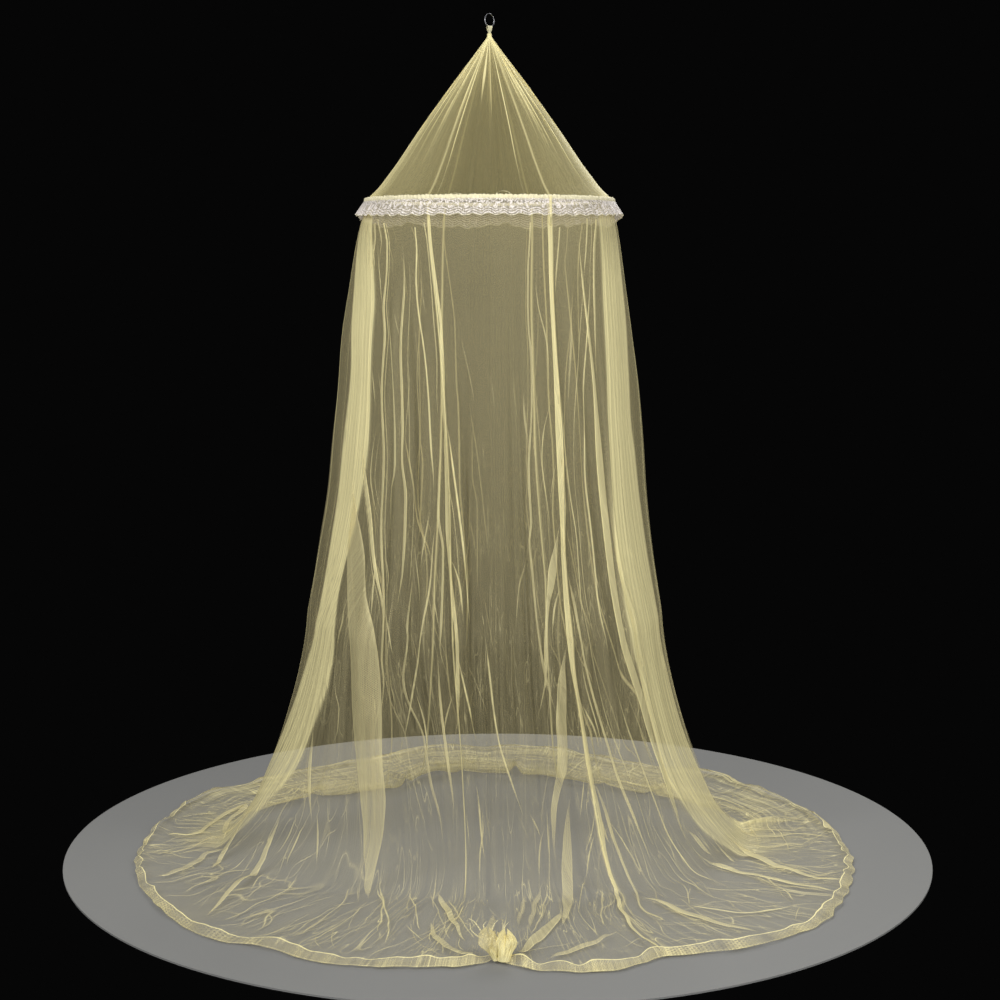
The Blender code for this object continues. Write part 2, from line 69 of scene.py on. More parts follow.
# angle from the front (right is positive), radius where the net meets the floor
FOOT = (
    (-180, 0.590),
    (-165, 0.620),
    (-150, 0.510),
    (-135, 0.540),
    (-120, 0.620),
    (-100, 0.680),
    (-80, 0.680),
    (-60, 0.600),
    (-40, 0.515),
    (-20, 0.465),
    (0, 0.450),
    (20, 0.475),
    (40, 0.510),
    (60, 0.570),
    (80, 0.640),
    (100, 0.650),
    (120, 0.610),
    (135, 0.560),
    (150, 0.560),
    (165, 0.575),
    (180, 0.590),
)
# angle, radius of the hem's outer edge
HEM = (
    (-180, 0.900),
    (-168, 0.925),
    (-157, 0.850),
    (-138, 0.840),
    (-126, 0.850),
    (-118, 0.885),
    (-98, 0.873),
    (-80, 0.886),
    (-57, 0.910),
    (-40, 0.935),
    (-33, 0.908),
    (-21, 0.922),
    (-8, 0.892),
    (-1.5, 0.868),
    (1.3, 0.848),
    (4, 0.884),
    (16, 0.937),
    (24, 0.905),
    (37, 0.955),
    (50, 0.964),
    (62, 0.935),
    (77, 0.911),
    (91, 0.893),
    (106, 0.885),
    (125, 0.868),
    (131, 0.895),
    (142, 0.832),
    (153, 0.828),
    (165, 0.888),
    (175, 0.920),
    (180, 0.900),
)
# How the cloth's own lines wander sideways. Each row is one line of the cloth: its angle at each
# of LINE_PATHS. A path is 0 at the hoop, 1 where the net meets the floor and 2 at the hem.
LINE_PATHS = (0.0, 0.1996, 0.3559, 0.5060, 0.6561, 0.8124, 1.0, 1.35, 2.0)
LINES = (
    (-180, -180, -180, -180, -180, -180, -180, -180, -180),
    (-157, -159, -160, -160, -160, -160, -160, -160, -160),
    (-118, -112, -112, -114, -116, -118, -120, -120.7, -122),
    (-90, -65, -63, -66, -76, -84, -95, -95, -95),
    (-68, -50, -49, -48, -57, -62, -74, -73.3, -72),
    (-58, -45, -43, -42, -41, -37, -34, -33.3, -32),
    (-45, -34, -30, -27, -25, -19, -17, -17.4, -18),
    (-28, -18, -14, -12, -10, -8, -7, -7.3, -8),
    (0, 0, 1, 2, 2, 3, 2, 1.8, 1.3),
    (28, 25, 26, 25, 26, 31, 36, 28.6, 25),
    (44, 41, 43, 46, 51, 57, 62, 62.7, 64),
    (58, 50, 49, 50, 57, 63, 72, 72.3, 73),
    (82, 69, 70, 76, 80, 81, 92, 92.3, 93),
    (118, 110, 110, 112, 114, 116, 120, 120.7, 122),
    (159, 162, 162, 161, 160, 160, 160, 160, 160),
    (180, 180, 180, 180, 180, 180, 180, 180, 180),
)
# panel, the hoop angles of its two seams
PANELS = (
    ("front", -28.0, 28.0),
    ("right", 28.0, 159.0),
    ("back", 159.0, 203.0),
    ("left", 203.0, 332.0),
)
# where the net is bunched in close pleats: path, then the bunch's inner and outer edge as angles
BUNCHES = (
    (
        (0.0, -67, -86), (0.07, -57, -77), (0.16, -50, -69), (0.25, -48.8, -64), (0.35, -47.4, -66),
        (0.46, -51, -67), (0.58, -55, -66.5), (0.64, -54, -68), (0.70, -55.5, -73), (0.78, -61, -78),
        (0.85, -65.5, -83), (0.90, -72, -90), (0.95, -78, -96), (1.0, -82, -101), (2.0, -86, -106),
    ),
    (
        (0.0, 58.5, 79), (0.07, 55, 76), (0.16, 51.4, 73), (0.25, 49.3, 68), (0.32, 48, 66),
        (0.38, 47.9, 68.5), (0.48, 47.6, 72), (0.58, 48.2, 74), (0.65, 50.2, 75.5), (0.72, 55.2, 79),
        (0.79, 58.8, 80), (0.85, 60.8, 83), (0.90, 65, 88), (0.95, 70, 93), (1.0, 75, 98), (2.0, 82, 106),
    ),
)
# soft billows: angle at the hoop, path where each starts, is fullest and ends, height, half width
BILLOWS = (
    (-151.0, 0.08, 0.75, 1.80, 0.030, 0.026),
    (-137.0, 0.05, 0.50, 1.20, 0.020, 0.018),
    (-124.0, 0.30, 0.95, 1.70, 0.026, 0.024),
    (-107.0, 0.08, 0.50, 1.30, 0.008, 0.020),
    (-63.5, 0.90, 1.25, 1.98, 0.020, 0.020),
    (-57.0, 0.42, 0.70, 1.06, 0.018, 0.034),
    (-49.0, 0.03, 0.45, 1.00, 0.010, 0.020),
    (-44.0, 0.85, 1.35, 1.98, 0.016, 0.020),
    (-38.5, 0.03, 0.40, 1.20, 0.010, 0.018),
    (-28.0, 0.00, 0.35, 1.90, 0.010, 0.008),
    (-17.5, 0.15, 0.60, 1.25, 0.016, 0.013),
    (-7.0, 0.45, 1.08, 1.55, 0.020, 0.017),
    (6.0, 0.90, 1.40, 1.99, 0.008, 0.030),
    (11.0, 0.20, 0.60, 1.10, 0.016, 0.013),
    (19.5, 0.50, 0.95, 1.90, 0.026, 0.024),
    (28.0, 0.00, 0.35, 1.15, 0.011, 0.009),
    (36.5, 0.03, 0.50, 1.97, 0.012, 0.020),
    (45.0, 0.08, 0.70, 1.98, 0.007, 0.030),
    (53.5, 0.03, 0.55, 1.95, 0.005, 0.030),
    (90.0, 0.80, 1.30, 1.98, 0.020, 0.024),
    (101.0, 0.08, 0.60, 1.40, 0.008, 0.020),
    (116.0, 0.05, 0.45, 1.10, 0.008, 0.018),
    (129.0, 0.25, 0.90, 1.80, 0.030, 0.026),
    (145.0, 0.06, 0.60, 1.30, 0.020, 0.020),
    (173.0, 0.08, 0.80, 1.80, 0.026, 0.024),
    (-171.0, 0.10, 0.55, 1.25, 0.020, 0.018),
)
# Knife folds in the skirt: bulk of cloth in the fold from 0 to 1, then the points that it runs
# through. A point is an angle, a height over the floor (below zero, the share of the way from the
# foot to the hem) and the fold's width in mm.
FOLDS = (
    (0.55, ((-86.6, 1.56, 1.6), (-86.2, 1.1, 1.8), (-86.0, 0.6, 1.6), (-86, 0.2, 1.6))),
    (0.55, ((86.6, 1.56, 1.6), (86.2, 1.1, 1.8), (85.8, 0.6, 1.6), (85, 0.2, 1.6))),
    (0.55, ((-64.8, 1.55, 3.8), (-54.4, 1.46, 2.8), (-53.1, 1.41, 2.8))),
    (0.55, ((-59.4, 1.55, 5.7), (-56.2, 1.51, 5.6), (-55.5, 1.43, 1.9))),
    (0.4, ((-54.6, 1.51, 2.8), (-50.6, 1.45, 2.8), (-44.5, 1.34, 2.8))),
    (0.45, ((-57.4, 1.56, 2.8), (-52.2, 1.52, 2.8), (-49.8, 1.49, 2.8))),
    (0.75, (
        (-51.8, 1.55, 3.7), (-47.5, 1.51, 3.7), (-45.8, 1.46, 3.7), (-45.1, 1.42, 3.7),
        (-44.9, 1.37, 5.6), (-42, 1.28, 5.6), (-42.3, 1.18, 4.6), (-39.2, 1, 5.6),
        (-38.7, 0.89, 4.6), (-33.7, 0.66, 4.6), (-32.9, 0.59, 4.6), (-33.2, 0.55, 3.7),
        (-32.6, 0.5, 3.7), (-34, 0.39, 3.7),
    )),
    (0.45, (
        (-42.7, 1.37, 2.8), (-38, 1.24, 2.8), (-33.5, 1.02, 4.6), (-33.2, 0.98, 4.6),
        (-34.9, 0.93, 3.7), (-31.8, 0.78, 2.8),
    )),
    (0.7, (
        (-38.2, 1.5, 3.7), (-35.9, 1.44, 5.5), (-34.8, 1.38, 5.5), (-34.2, 1.27, 5.5),
        (-31.9, 1.08, 5.5), (-31.3, 1.01, 3.7), (-29.1, 0.92, 6.5), (-28.4, 0.75, 4.6),
        (-28.8, 0.7, 2.8), (-29, 0.64, 2.8),
    )),
    (0.7, (
        (-32.8, 1.54, 2.8), (-30.8, 1.49, 3.7), (-29.7, 1.42, 3.7), (-23.7, 1.24, 3.7),
        (-20.3, 1.04, 4.6), (-18.9, 0.96, 3.7), (-18.6, 0.9, 2.7),
    )),
    (0.4, ((-31, 1.44, 2.8), (-26.2, 1.32, 2.7))),
    (0.45, (
        (-28.4, 1.55, 3.7), (-26.1, 1.51, 2.8), (-21.4, 1.34, 2.7), (-18.9, 1.22, 2.7),
        (-18.7, 1.16, 2.7), (-17.2, 1.07, 2.7),
    )),
    (0.9, (
        (-26.6, 1.57, 4.6), (-19.2, 1.36, 4.6), (-17.9, 1.31, 4.6), (-16, 1.14, 8.2),
        (-15, 1.08, 6.4), (-13.9, 0.86, 7.3), (-12.8, 0.8, 7.3), (-11.9, 0.75, 5.5),
        (-9.3, 0.58, 6.4), (-9.2, 0.42, 6.4), (-10.2, 0.38, 6.4), (-11.1, 0.35, 1.8),
    )),
    (0.65, ((-12.8, 0.8, 3.7), (-9.3, 0.73, 4.6), (-7.4, 0.63, 2.7))),
    (0.7, (
        (-15.3, 1.07, 2.7), (-16.6, 1.03, 3.7), (-17.1, 0.98, 3.7), (-17.1, 0.89, 5.5),
        (-14.9, 0.8, 4.6), (-14.3, 0.63, 5.5), (-14.4, 0.59, 3.6), (-11.5, 0.5, 3.7),
    )),
    (0.75, ((-15.1, 1.11, 3.7), (-8.7, 0.84, 4.6), (-6.4, 0.7, 4.6), (-5.3, 0.62, 2.7))),
    (0.25, ((-12.4, 1.34, 1.8), (-6.7, 1.2, 1.8), (-3.7, 1.09, 1.8))),
    (0.22, ((-2.7, 1.08, 1.8), (-0.6, 0.96, 1.8))),
    (0.22, ((-0.6, 1.22, 1.8), (1.2, 1.18, 1.8), (2.5, 1.1, 1.8))),
    (0.28, ((-38.9, 1.35, 1.9), (-34.7, 1.28, 1.8))),
    (0.28, ((-32.3, 1.26, 2.2), (-29.9, 1.18, 2.2), (-30.3, 1.09, 2.2), (-29.7, 1.01, 2.2))),
    (0.45, ((-48.4, 1.22, 2.8), (-44.7, 1.12, 2.8))),
    (0.5, ((-43.2, 1.09, 2.8), (-44.8, 1.02, 2.8), (-45.1, 0.97, 2.8), (-38.6, 0.84, 2.8))),
    (0.85, (
        (-51.4, 1.04, 3.8), (-49.1, 0.99, 7.5), (-46.7, 0.93, 9.4), (-43.9, 0.87, 9.3),
        (-36.8, 0.72, 5.6), (-34.7, 0.68, 5.6), (-33.1, 0.63, 5.5), (-32.5, 0.58, 2.8),
    )),
    (0.5, ((-38.9, 0.81, 2.8), (-37.5, 0.62, 3.7))),
    (0.5, ((-36.5, 0.79, 3.7), (-33.9, 0.76, 3.7), (-32.6, 0.73, 3.7), (-33.1, 0.69, 1.8))),
    (0.6, (
        (-25.5, 0.77, 3.7), (-24.6, 0.73, 3.7), (-25.2, 0.63, 4.6), (-24.7, 0.6, 3.7),
        (-26.1, 0.51, 4.6), (-25.2, 0.47, 4.6), (-19.7, 0.37, 3.7), (-19.1, 0.33, 5.5),
        (-18, 0.27, 5.5), (-14.9, 0.17, 4.6), (-14, 0.09, 1.9),
    )),
    (0.45, ((-25, 0.82, 2.8), (-20.6, 0.66, 2.7))),
    (0.45, ((-20.1, 0.91, 2.7), (-22.1, 0.74, 2.8))),
    (0.55, (
        (-17.4, 0.88, 2.7), (-18.4, 0.82, 3.7), (-18.4, 0.75, 3.7), (-19.9, 0.63, 3.7),
        (-23.6, 0.46, 4.6), (-26.5, 0.32, 1.9),
    )),
    (0.45, ((-18.3, 0.73, 2.7), (-14.6, 0.62, 2.7))),
    (0.55, ((-34.1, 0.68, 3.7), (-30.3, 0.61, 3.7), (-28.7, 0.55, 2.8))),
    (0.6, ((-51, 0.67, 5.7), (-50.6, 0.62, 3.8), (-52.8, 0.55, 2.8))),
    (0.6, ((-22.6, 0.49, 3.7), (-19.3, 0.4, 3.7), (-18.3, 0.31, 2.8))),
    (0.75, (
        (-15.3, 0.59, 2.7), (-14.8, 0.48, 4.6), (-12.1, 0.3, 5.5), (-11, 0.23, 4.6),
        (-10.8, 0.19, 3.7), (-12.1, 0.15, 1.9),
    )),
    (0.75, ((-9.6, 0.59, 4.6), (-3.3, 0.35, 3.7))),
    (0.45, ((-10, 0.49, 3.7), (-13.1, 0.41, 3.7), (-13.8, 0.37, 3.7))),
    (0.3, ((-7.3, 0.58, 1.8), (1, 0.4, 1.8))),
    (0.7, (
        (-1.4, 0.63, 2.7), (-0.2, 0.55, 4.6), (3.1, 0.37, 3.7), (6.8, 0.27, 4.6), (11.8, 0.16, 1.9),
    )),
    (0.65, ((-5.1, 0.28, 2.8), (-3.6, 0.25, 4.6), (-1.9, 0.12, 3.7), (-0.6, 0.06, 1.9))),
    (0.55, ((-2.1, 0.22, 2.8), (-1.8, 0.16, 3.7), (-2.8, 0.09, 3.7), (-3, 0.02, 1.8))),
    (0.4, ((-8.9, 0.22, 1.8), (-6.8, 0.18, 1.8), (-5.9, 0.09, 1.9))),
    (0.45, (
        (-53.5, 0.52, 2.8), (-52.2, 0.45, 2.8), (-50.1, 0.41, 2.8), (-50, 0.36, 2.8),
        (-52.5, 0.31, 2.8),
    )),
    (0.8, ((-60.9, 0.36, 3.8), (-60.1, 0.31, 9.6), (-59.1, 0.25, 8.6), (-54.4, 0.11, 1.9))),
    (0.55, ((-54.6, 0.17, 3.8), (-51.5, 0.07, 4.7), (-49.6, 0.03, 1.9))),
    (0.4, ((-30.1, 0.56, 1.8), (-29.8, 0.5, 1.8), (-28.6, 0.45, 1.8), (-28.9, 0.4, 1.9))),
    (0.35, ((-2, 0.67, 1.8), (-1.1, 0.63, 1.8))),
    (0.35, ((-37.7, 0.47, 1.9), (-35.1, 0.45, 2.8), (-34.7, 0.4, 2.8))),
    (0.55, (
        (-56.1, 0.95, 5.7), (-52.4, 0.86, 30), (-48.3, 0.77, 52), (-44.6, 0.68, 58),
        (-41, 0.59, 66), (-39.8, 0.52, 70), (-39, 0.45, 70), (-36.8, 0.28, 56), (-36, 0.21, 52),
        (-35.8, 0.15, 42), (-36, 0.09, 32), (-35, 0.03, 16), (-31, -0.12, 2.5),
    )),
    (0.55, ((-34.4, 0.05, 3.7), (-31.6, 0.01, 3.7), (-23.2, -0.31, 3.6), (-19, -0.6, 1.7))),
    (0.55, ((-32.5, 0.02, 3.7), (-24.8, -0.21, 3.6), (-18.4, -0.5, 3.5), (-16, -0.74, 1.7))),
    (0.35, ((-37.6, 0.03, 2.8), (-31.1, -0.21, 2.7))),
    (0.6, ((-23.4, 0.01, 2.8), (-18.3, -0.17, 2.7), (-12.2, -0.52, 2.6))),
    (0.35, ((-23.5, 0.07, 2.8), (-16.9, -0.35, 2.7))),
    (0.6, ((-16.5, -0.43, 2.7), (-9.9, -0.67, 2.6))),
    (0.45, ((-16.5, 0.09, 3.7), (-13.1, -0.22, 1.8))),
    (0.8, ((-15, 0.01, 5.6), (-10.9, -0.15, 10.9), (-7.5, -0.35, 8.9), (-3.7, -0.68, 1.7))),
    (0.5, ((-11.7, -0.02, 3.7), (-7.4, -0.23, 3.6), (-1.7, -0.69, 1.7))),
    (0.7, (
        (-12, -0.38, 3.6), (-9.1, -0.59, 8.7), (-6.6, -0.73, 10.3), (-4, -0.85, 8.5),
        (-1.5, -0.96, 3.4),
    )),
    (0.5, ((-13.6, -0.69, 2.6), (-16.3, -0.82, 2.5), (-17.1, -0.9, 2.5))),
    (0.8, (
        (-80.6, 0.16, 8), (-112.1, -0.29, 17.2), (-93, -0.34, 14.4), (-91.6, -0.59, 8.2),
        (-92.1, -0.79, 4.1),
    )),
    (0.8, (
        (-78.1, 0.13, 7.9), (-83.8, 0.07, 16.1), (-80, 0.03, 13.9), (-76.8, -0.02, 11.8),
        (-69.3, -0.29, 1.9),
    )),
    (0.6, (
        (-77.3, 0.04, 4), (-80.3, -0.05, 11.9), (-74.3, -0.34, 15.6), (-69.9, -0.63, 11.5),
        (-68, -0.84, 1.9),
    )),
    (0.5, ((-86.5, 0.04, 4), (-89.8, -0.12, 4.1), (-82.4, -0.37, 6), (-80.1, -0.66, 2))),
    (0.45, ((-91.4, 0.01, 3.1), (-85.3, -0.22, 5), (-83.2, -0.46, 5))),
    (0.4, ((-101.8, -0.12, 3.2), (-99.6, -0.4, 3.1), (-97.4, -0.81, 3.1))),
    (0.4, ((-107.8, -0.46, 3.2), (-102.7, -0.69, 3.2))),
    (0.4, ((-89.8, -0.05, 2), (-87.3, -0.34, 4), (-84.6, -0.65, 4))),
    (0.75, (
        (-66, 0.15, 3.9), (-66.7, 0.11, 9.7), (-66.4, 0.06, 11.6), (-65, 0.02, 11.6),
        (-58.8, -0.25, 11.3), (-46.9, -0.84, 1.8),
    )),
    (0.45, ((-70.1, 0.07, 2.9), (-66.4, -0.22, 2.9))),
    (0.45, ((-60.6, 0.16, 2.9), (-61.8, 0.06, 2.9), (-63.2, 0.03, 2.9))),
    (0.6, ((-56, 0.14, 3.8), (-58.3, 0.1, 3.8), (-58.6, 0.05, 3.8), (-57.2, 0.01, 1.9))),
    (0.55, ((-53.4, 0.01, 2.8), (-49.1, -0.21, 2.8), (-43.6, -0.83, 2.7))),
    (0.45, ((-60.9, 0.02, 2.9), (-51.5, -0.41, 2.8))),
    (0.45, ((-39.5, 0.01, 2.8), (-33.9, -0.26, 2.7), (-29.7, -0.88, 2.6))),
    (0.45, ((-29.3, -0.25, 2.7), (-27.3, -0.51, 2.7), (-27.3, -0.89, 2.6))),
    (0.35, ((-38.3, -0.14, 2.2), (-39.4, -0.38, 2.2), (-39.4, -0.83, 2.1))),
    (0.35, ((-33.9, -0.26, 2.2), (-33.2, -0.81, 2.1))),
    (0.35, ((-43.1, -0.12, 2.2), (-41.6, -0.76, 2.1))),
    (0.35, ((-42.4, -0.25, 2.2), (-42.5, -0.71, 2.1))),
    (0.35, ((-32.5, -0.4, 2.2), (-30.9, -0.66, 2.1), (-30.7, -0.85, 2.1))),
    (0.35, ((-22.5, -0.46, 2.1), (-25.7, -0.83, 2.1))),
    (0.5, ((-65.6, 0.01, 3.9), (-66.5, -0.16, 3.8), (-62.9, -0.47, 4.7), (-59.3, -0.77, 1.9))),
    (0.45, ((-66.2, -0.21, 3.8), (-67, -0.49, 3.8), (-65, -0.79, 3.8), (-65.1, -0.93, 1.9))),
    (0.35, ((-58.2, -0.31, 2.3), (-54.4, -0.6, 2.2), (-52.3, -0.84, 2.2))),
    (0.35, ((-58.6, -0.5, 2.2), (-57.1, -0.73, 2.2), (-58.3, -0.94, 2.2))),
    (0.3, ((-72.8, 0.01, 2), (-66.2, -0.75, 1.9))),
    (0.3, ((-56.4, 0.06, 1.9), (-50.8, -0.17, 1.9))),
    (0.3, ((-49.6, 0.15, 1.9), (-48.8, 0.04, 1.9))),
    (0.65, (
        (17.6, 1.55, 2.7), (15.7, 1.44, 3.7), (15.1, 1.31, 3.6), (15.6, 1.25, 4.6), (15, 1.11, 3.7),
        (13.9, 0.99, 4.6), (14.2, 0.87, 4.6), (13.2, 0.82, 3.7), (13.7, 0.77, 4.6),
        (15.2, 0.61, 3.7), (17.3, 0.51, 5.5), (20.9, 0.4, 1.8),
    )),
    (0.35, ((12.3, 1.18, 2.7), (12.5, 1.12, 4.6), (14, 1.02, 3.7))),
    (0.35, ((14.9, 1.09, 1.8), (16.7, 0.96, 1.8))),
    (0.35, ((12.9, 0.82, 2.7), (9.5, 0.72, 2.7), (8.1, 0.61, 2.7))),
    (0.45, (
        (19.7, 1.46, 1.8), (18.8, 1.41, 2.7), (19.2, 1.37, 2.7), (22.2, 1.26, 3.7),
        (21.9, 1.15, 3.7),
    )),
    (0.95, (
        (27.4, 1.61, 5.5), (26.2, 1.54, 7.3), (25.3, 1.42, 7.3), (25.1, 1.29, 8.3),
        (24.7, 1.09, 7.3), (25.7, 0.97, 12.9), (26, 0.89, 14.7), (24.7, 0.8, 6.4),
        (24.8, 0.62, 7.4), (29.3, 0.39, 7.4), (30.7, 0.33, 9.3), (31.9, 0.27, 9.3),
        (33.5, 0.22, 7.5), (35.3, 0.15, 7.5), (35.7, 0.08, 7.5), (35.8, -0.001, 7),
        (33.5, -0.087, 6.5), (30.1, -0.24, 6.3), (27.2, -0.457, 6), (25.3, -0.665, 5.5),
        (24.8, -0.845, 4.5), (24.6, -1, 3.4),
    )),
    (0.5, ((31.4, 1.54, 3.7), (27.7, 1.43, 3.7), (26.5, 1.37, 1.8))),
    (0.6, ((25.7, 1.23, 2.8), (28.7, 0.95, 3.7), (30.6, 0.81, 2.8), (30.5, 0.59, 2.8))),
    (0.55, (
        (24, 1.17, 2.8), (19.2, 1.06, 2.7), (18.6, 1.01, 2.7), (20.6, 0.87, 2.8), (20.8, 0.81, 2.8),
    )),
    (0.4, ((24.7, 1.02, 1.8), (22.5, 0.96, 1.8), (21.1, 0.9, 1.8))),
    (0.75, (
        (24.7, 0.87, 3.7), (22.7, 0.81, 12.9), (21.1, 0.76, 16.5), (20, 0.72, 12.8),
        (18.6, 0.68, 7.3), (17.5, 0.63, 5.5), (17, 0.58, 6.4), (17, 0.51, 4.6), (15.8, 0.45, 4.6),
        (13.7, 0.39, 1.8),
    )),
    (0.55, ((24.4, 0.73, 2.8), (22.2, 0.7, 4.6), (20.4, 0.66, 4.6), (18.9, 0.59, 1.8))),
    (0.8, (
        (26, 0.78, 3.7), (26.3, 0.74, 6.4), (27.5, 0.69, 6.5), (29.8, 0.57, 3.7), (34.1, 0.44, 4.7),
        (39.7, 0.31, 4.7), (48.5, 0.08, 3.8), (49, 0.04, 3.8), (50.3, 0.01, 1.9),
    )),
    (0.45, ((25.7, 0.69, 2.8), (26.9, 0.65, 2.8), (27.3, 0.58, 2.8))),
    (0.3, ((33.9, 1.38, 2.8), (32.2, 1.27, 4.6), (28.8, 1.1, 4.6))),
    (0.85, (
        (41.5, 1.53, 2.8), (40.7, 1.48, 3.7), (41.8, 1.16, 7.4), (42.8, 0.98, 14.9),
        (45.6, 0.61, 15), (50.9, 0.48, 15.2), (53.2, 0.43, 13.3), (55.6, 0.36, 13.4),
        (60.1, 0.24, 17.3), (61.7, 0.18, 15.4), (62.7, 0.13, 11.6), (62.7, 0.04, 5.8),
    )),
    (0.55, ((47.9, 1.56, 4.7), (43.2, 1.46, 3.7), (40.9, 1.41, 1.9))),
    (0.65, (
        (46.4, 1.45, 2.8), (40.4, 1.29, 3.7), (36.3, 1.15, 4.6), (34.8, 0.98, 3.7),
        (35.7, 0.85, 4.6), (36, 0.7, 3.7), (39.5, 0.52, 2.8),
    )),
    (0.45, ((35.2, 0.92, 1.9), (36.2, 0.85, 1.9))),
    (0.45, ((36, 0.75, 2.8), (37.1, 0.7, 2.8))),
    (0.7, ((54.6, 1.56, 5.6), (49.7, 1.49, 6.5), (46.8, 1.4, 5.6), (43, 1.17, 2.8))),
    (0.7, (
        (24.7, 0.61, 2.8), (22.9, 0.53, 12.9), (22.2, 0.46, 22.1), (21.9, 0.41, 24),
        (22.3, 0.35, 22.2), (21.9, 0.29, 14.8), (21, 0.25, 11.1), (20.1, 0.19, 11.1),
        (20.1, 0.12, 9.3), (20.6, 0.06, 1.9),
    )),
    (0.6, ((28.7, 0.57, 3.7), (30.2, 0.5, 3.7), (35.4, 0.37, 3.7), (37.8, 0.31, 1.9))),
    (0.6, ((28, 0.46, 2.8), (30.8, 0.42, 4.6), (33.6, 0.38, 4.7), (36, 0.32, 2.8))),
    (0.6, (
        (39.8, 0.5, 3.7), (49.2, 0.32, 4.7), (57.6, 0.1, 3.8), (59.2, 0.02, 3.8), (57.7, -0.2, 1.9),
    )),
    (0.75, (
        (31.9, 0.28, 3.7), (35.2, 0.22, 6.5), (37.4, 0.17, 6.6), (40.8, 0.03, 4.7),
        (33.9, -0.27, 3.6), (32.7, -0.44, 3.6), (32.8, -0.54, 1.8),
    )),
    (0.5, ((35, 0.18, 2.8), (36.5, 0.13, 4.7), (38.6, 0.09, 4.7))),
    (0.55, (
        (35.7, 0.18, 2.8), (39.6, 0.14, 2.8), (42.6, 0.1, 2.8), (44.4, 0.06, 2.8),
        (45.3, 0.02, 2.8),
    )),
    (0.6, ((30.2, 0.29, 3.7), (28, 0.16, 1.9))),
    (0.5, ((33.4, 0.2, 2.8), (32.2, 0.14, 2.8), (28.4, 0.07, 2.8))),
    (0.55, ((34.2, 0.15, 2.8), (32, 0.11, 3.7), (27.9, 0.01, 1.9))),
    (0.45, ((31.5, 0.07, 2.8), (27.8, 0.02, 2.8), (18.6, -0.32, 2.7))),
    (0.6, (
        (24.8, 0.23, 3.7), (23.8, 0.17, 9.3), (23.8, 0.11, 13), (23.2, 0.05, 18.6),
        (22.5, 0.01, 18.5), (13.5, -0.45, 1.8),
    )),
    (0.75, (
        (16.8, -0.23, 5.4), (12.7, -0.38, 14.2), (9.4, -0.53, 17.4), (6.8, -0.68, 13.7),
        (4.1, -0.87, 1.7),
    )),
    (0.7, (
        (23.6, -0.6, 2.6), (19.5, -0.64, 8.7), (15.6, -0.68, 10.3), (12, -0.76, 10.2),
        (8, -0.89, 3.4),
    )),
    (0.45, ((17.9, 0.21, 2.8), (18.8, 0.06, 2.8))),
    (0.45, ((17.6, 0.17, 2.8), (15.8, 0.11, 3.7), (14.7, 0.02, 3.7))),
    (0.5, ((17.3, 0.04, 2.8), (14.7, 0.01, 9.2), (10.1, -0.24, 7.2), (7.6, -0.48, 7))),
    (0.5, ((18.5, 0.07, 2.8), (16.7, 0.01, 2.8), (10.5, -0.34, 2.7), (7.3, -0.57, 2.6))),
    (0.5, ((32.1, 0.01, 3.7), (25.3, -0.27, 3.6), (20.5, -0.54, 3.5))),
    (0.45, ((12.3, 0.2, 2.8), (16.4, 0.12, 2.8))),
    (0.3, ((5.6, 0.1, 1.9), (6.8, 0.01, 1.8))),
    (0.45, ((10.5, 0.01, 3.7), (7.9, -0.2, 7.2), (5.6, -0.44, 7.1))),
    (0.85, (
        (62.8, 0.05, 7.7), (65, 0.02, 11.6), (67, -0.04, 13.6), (65.5, -0.22, 9.6),
        (63.3, -0.61, 9.4), (62.8, -0.79, 7.5), (62.2, -0.95, 3.7),
    )),
    (0.6, ((64.1, 0.1, 3.9), (66.2, 0.07, 7.8), (67.2, 0.03, 7.8), (68.1, 0.01, 3.9))),
    (0.65, ((71.9, 0.08, 5.9), (72.1, 0.01, 6.9), (70.1, -0.08, 6.8))),
    (0.85, (
        (77.4, 0.07, 9.9), (79.4, 0.02, 17.9), (77.2, -0.11, 17.8), (72.5, -0.34, 13.6),
        (69.9, -0.55, 9.6), (67.8, -0.77, 7.6), (67, -0.96, 3.8),
    )),
    (0.6, (
        (92.1, 0.02, 8.2), (90.5, -0.12, 10.2), (91.1, -0.36, 10.2), (92.2, -0.64, 6.2),
        (88.8, -0.89, 6.1),
    )),
    (0.55, ((83.2, -0.01, 4), (83.8, -0.23, 7), (85.5, -0.45, 6), (85.8, -0.64, 2))),
    (0.5, ((90.9, 0.02, 4.1), (95.3, -0.23, 6.2), (94.2, -0.5, 6.2), (95.7, -0.75, 2.1))),
    (0.5, ((73, -0.05, 2.9), (70.4, -0.55, 3.9), (70.4, -0.9, 3.8))),
    (0.4, ((73, -0.31, 2), (73.2, -0.87, 1.9))),
    (0.5, ((104.1, -0.22, 4.2), (107.6, -0.53, 4.3), (110.2, -0.93, 4.3))),
    (0.5, ((100.1, -0.08, 4.2), (103.9, -0.58, 4.2), (100.5, -0.78, 4.2))),
    (0.5, ((52.2, 0.05, 2.9), (54.3, 0.02, 2.9), (53.2, -0.09, 2.8), (47.4, -0.42, 2.8))),
    (0.35, ((44.4, 0.02, 1.9), (41.5, -0.27, 1.8))),
    (0.75, (
        (37.5, -0.15, 2.8), (38.9, -0.25, 7.3), (38.6, -0.41, 12.7), (38.9, -0.58, 12.5),
        (39.7, -0.75, 8.8), (40.5, -0.91, 1.7),
    )),
    (0.7, (
        (41.8, -0.37, 2.7), (43.4, -0.51, 5.4), (45.4, -0.62, 5.4), (49.8, -0.68, 5.4),
        (54.1, -0.78, 1.8),
    )),
    (0.5, ((65.5, -0.33, 2.9), (62, -0.51, 3.8), (54.3, -0.79, 3.6))),
    (0.45, ((47.9, 0.1, 2.3), (51.7, 0.01, 2.3), (41.1, -0.42, 2.2))),
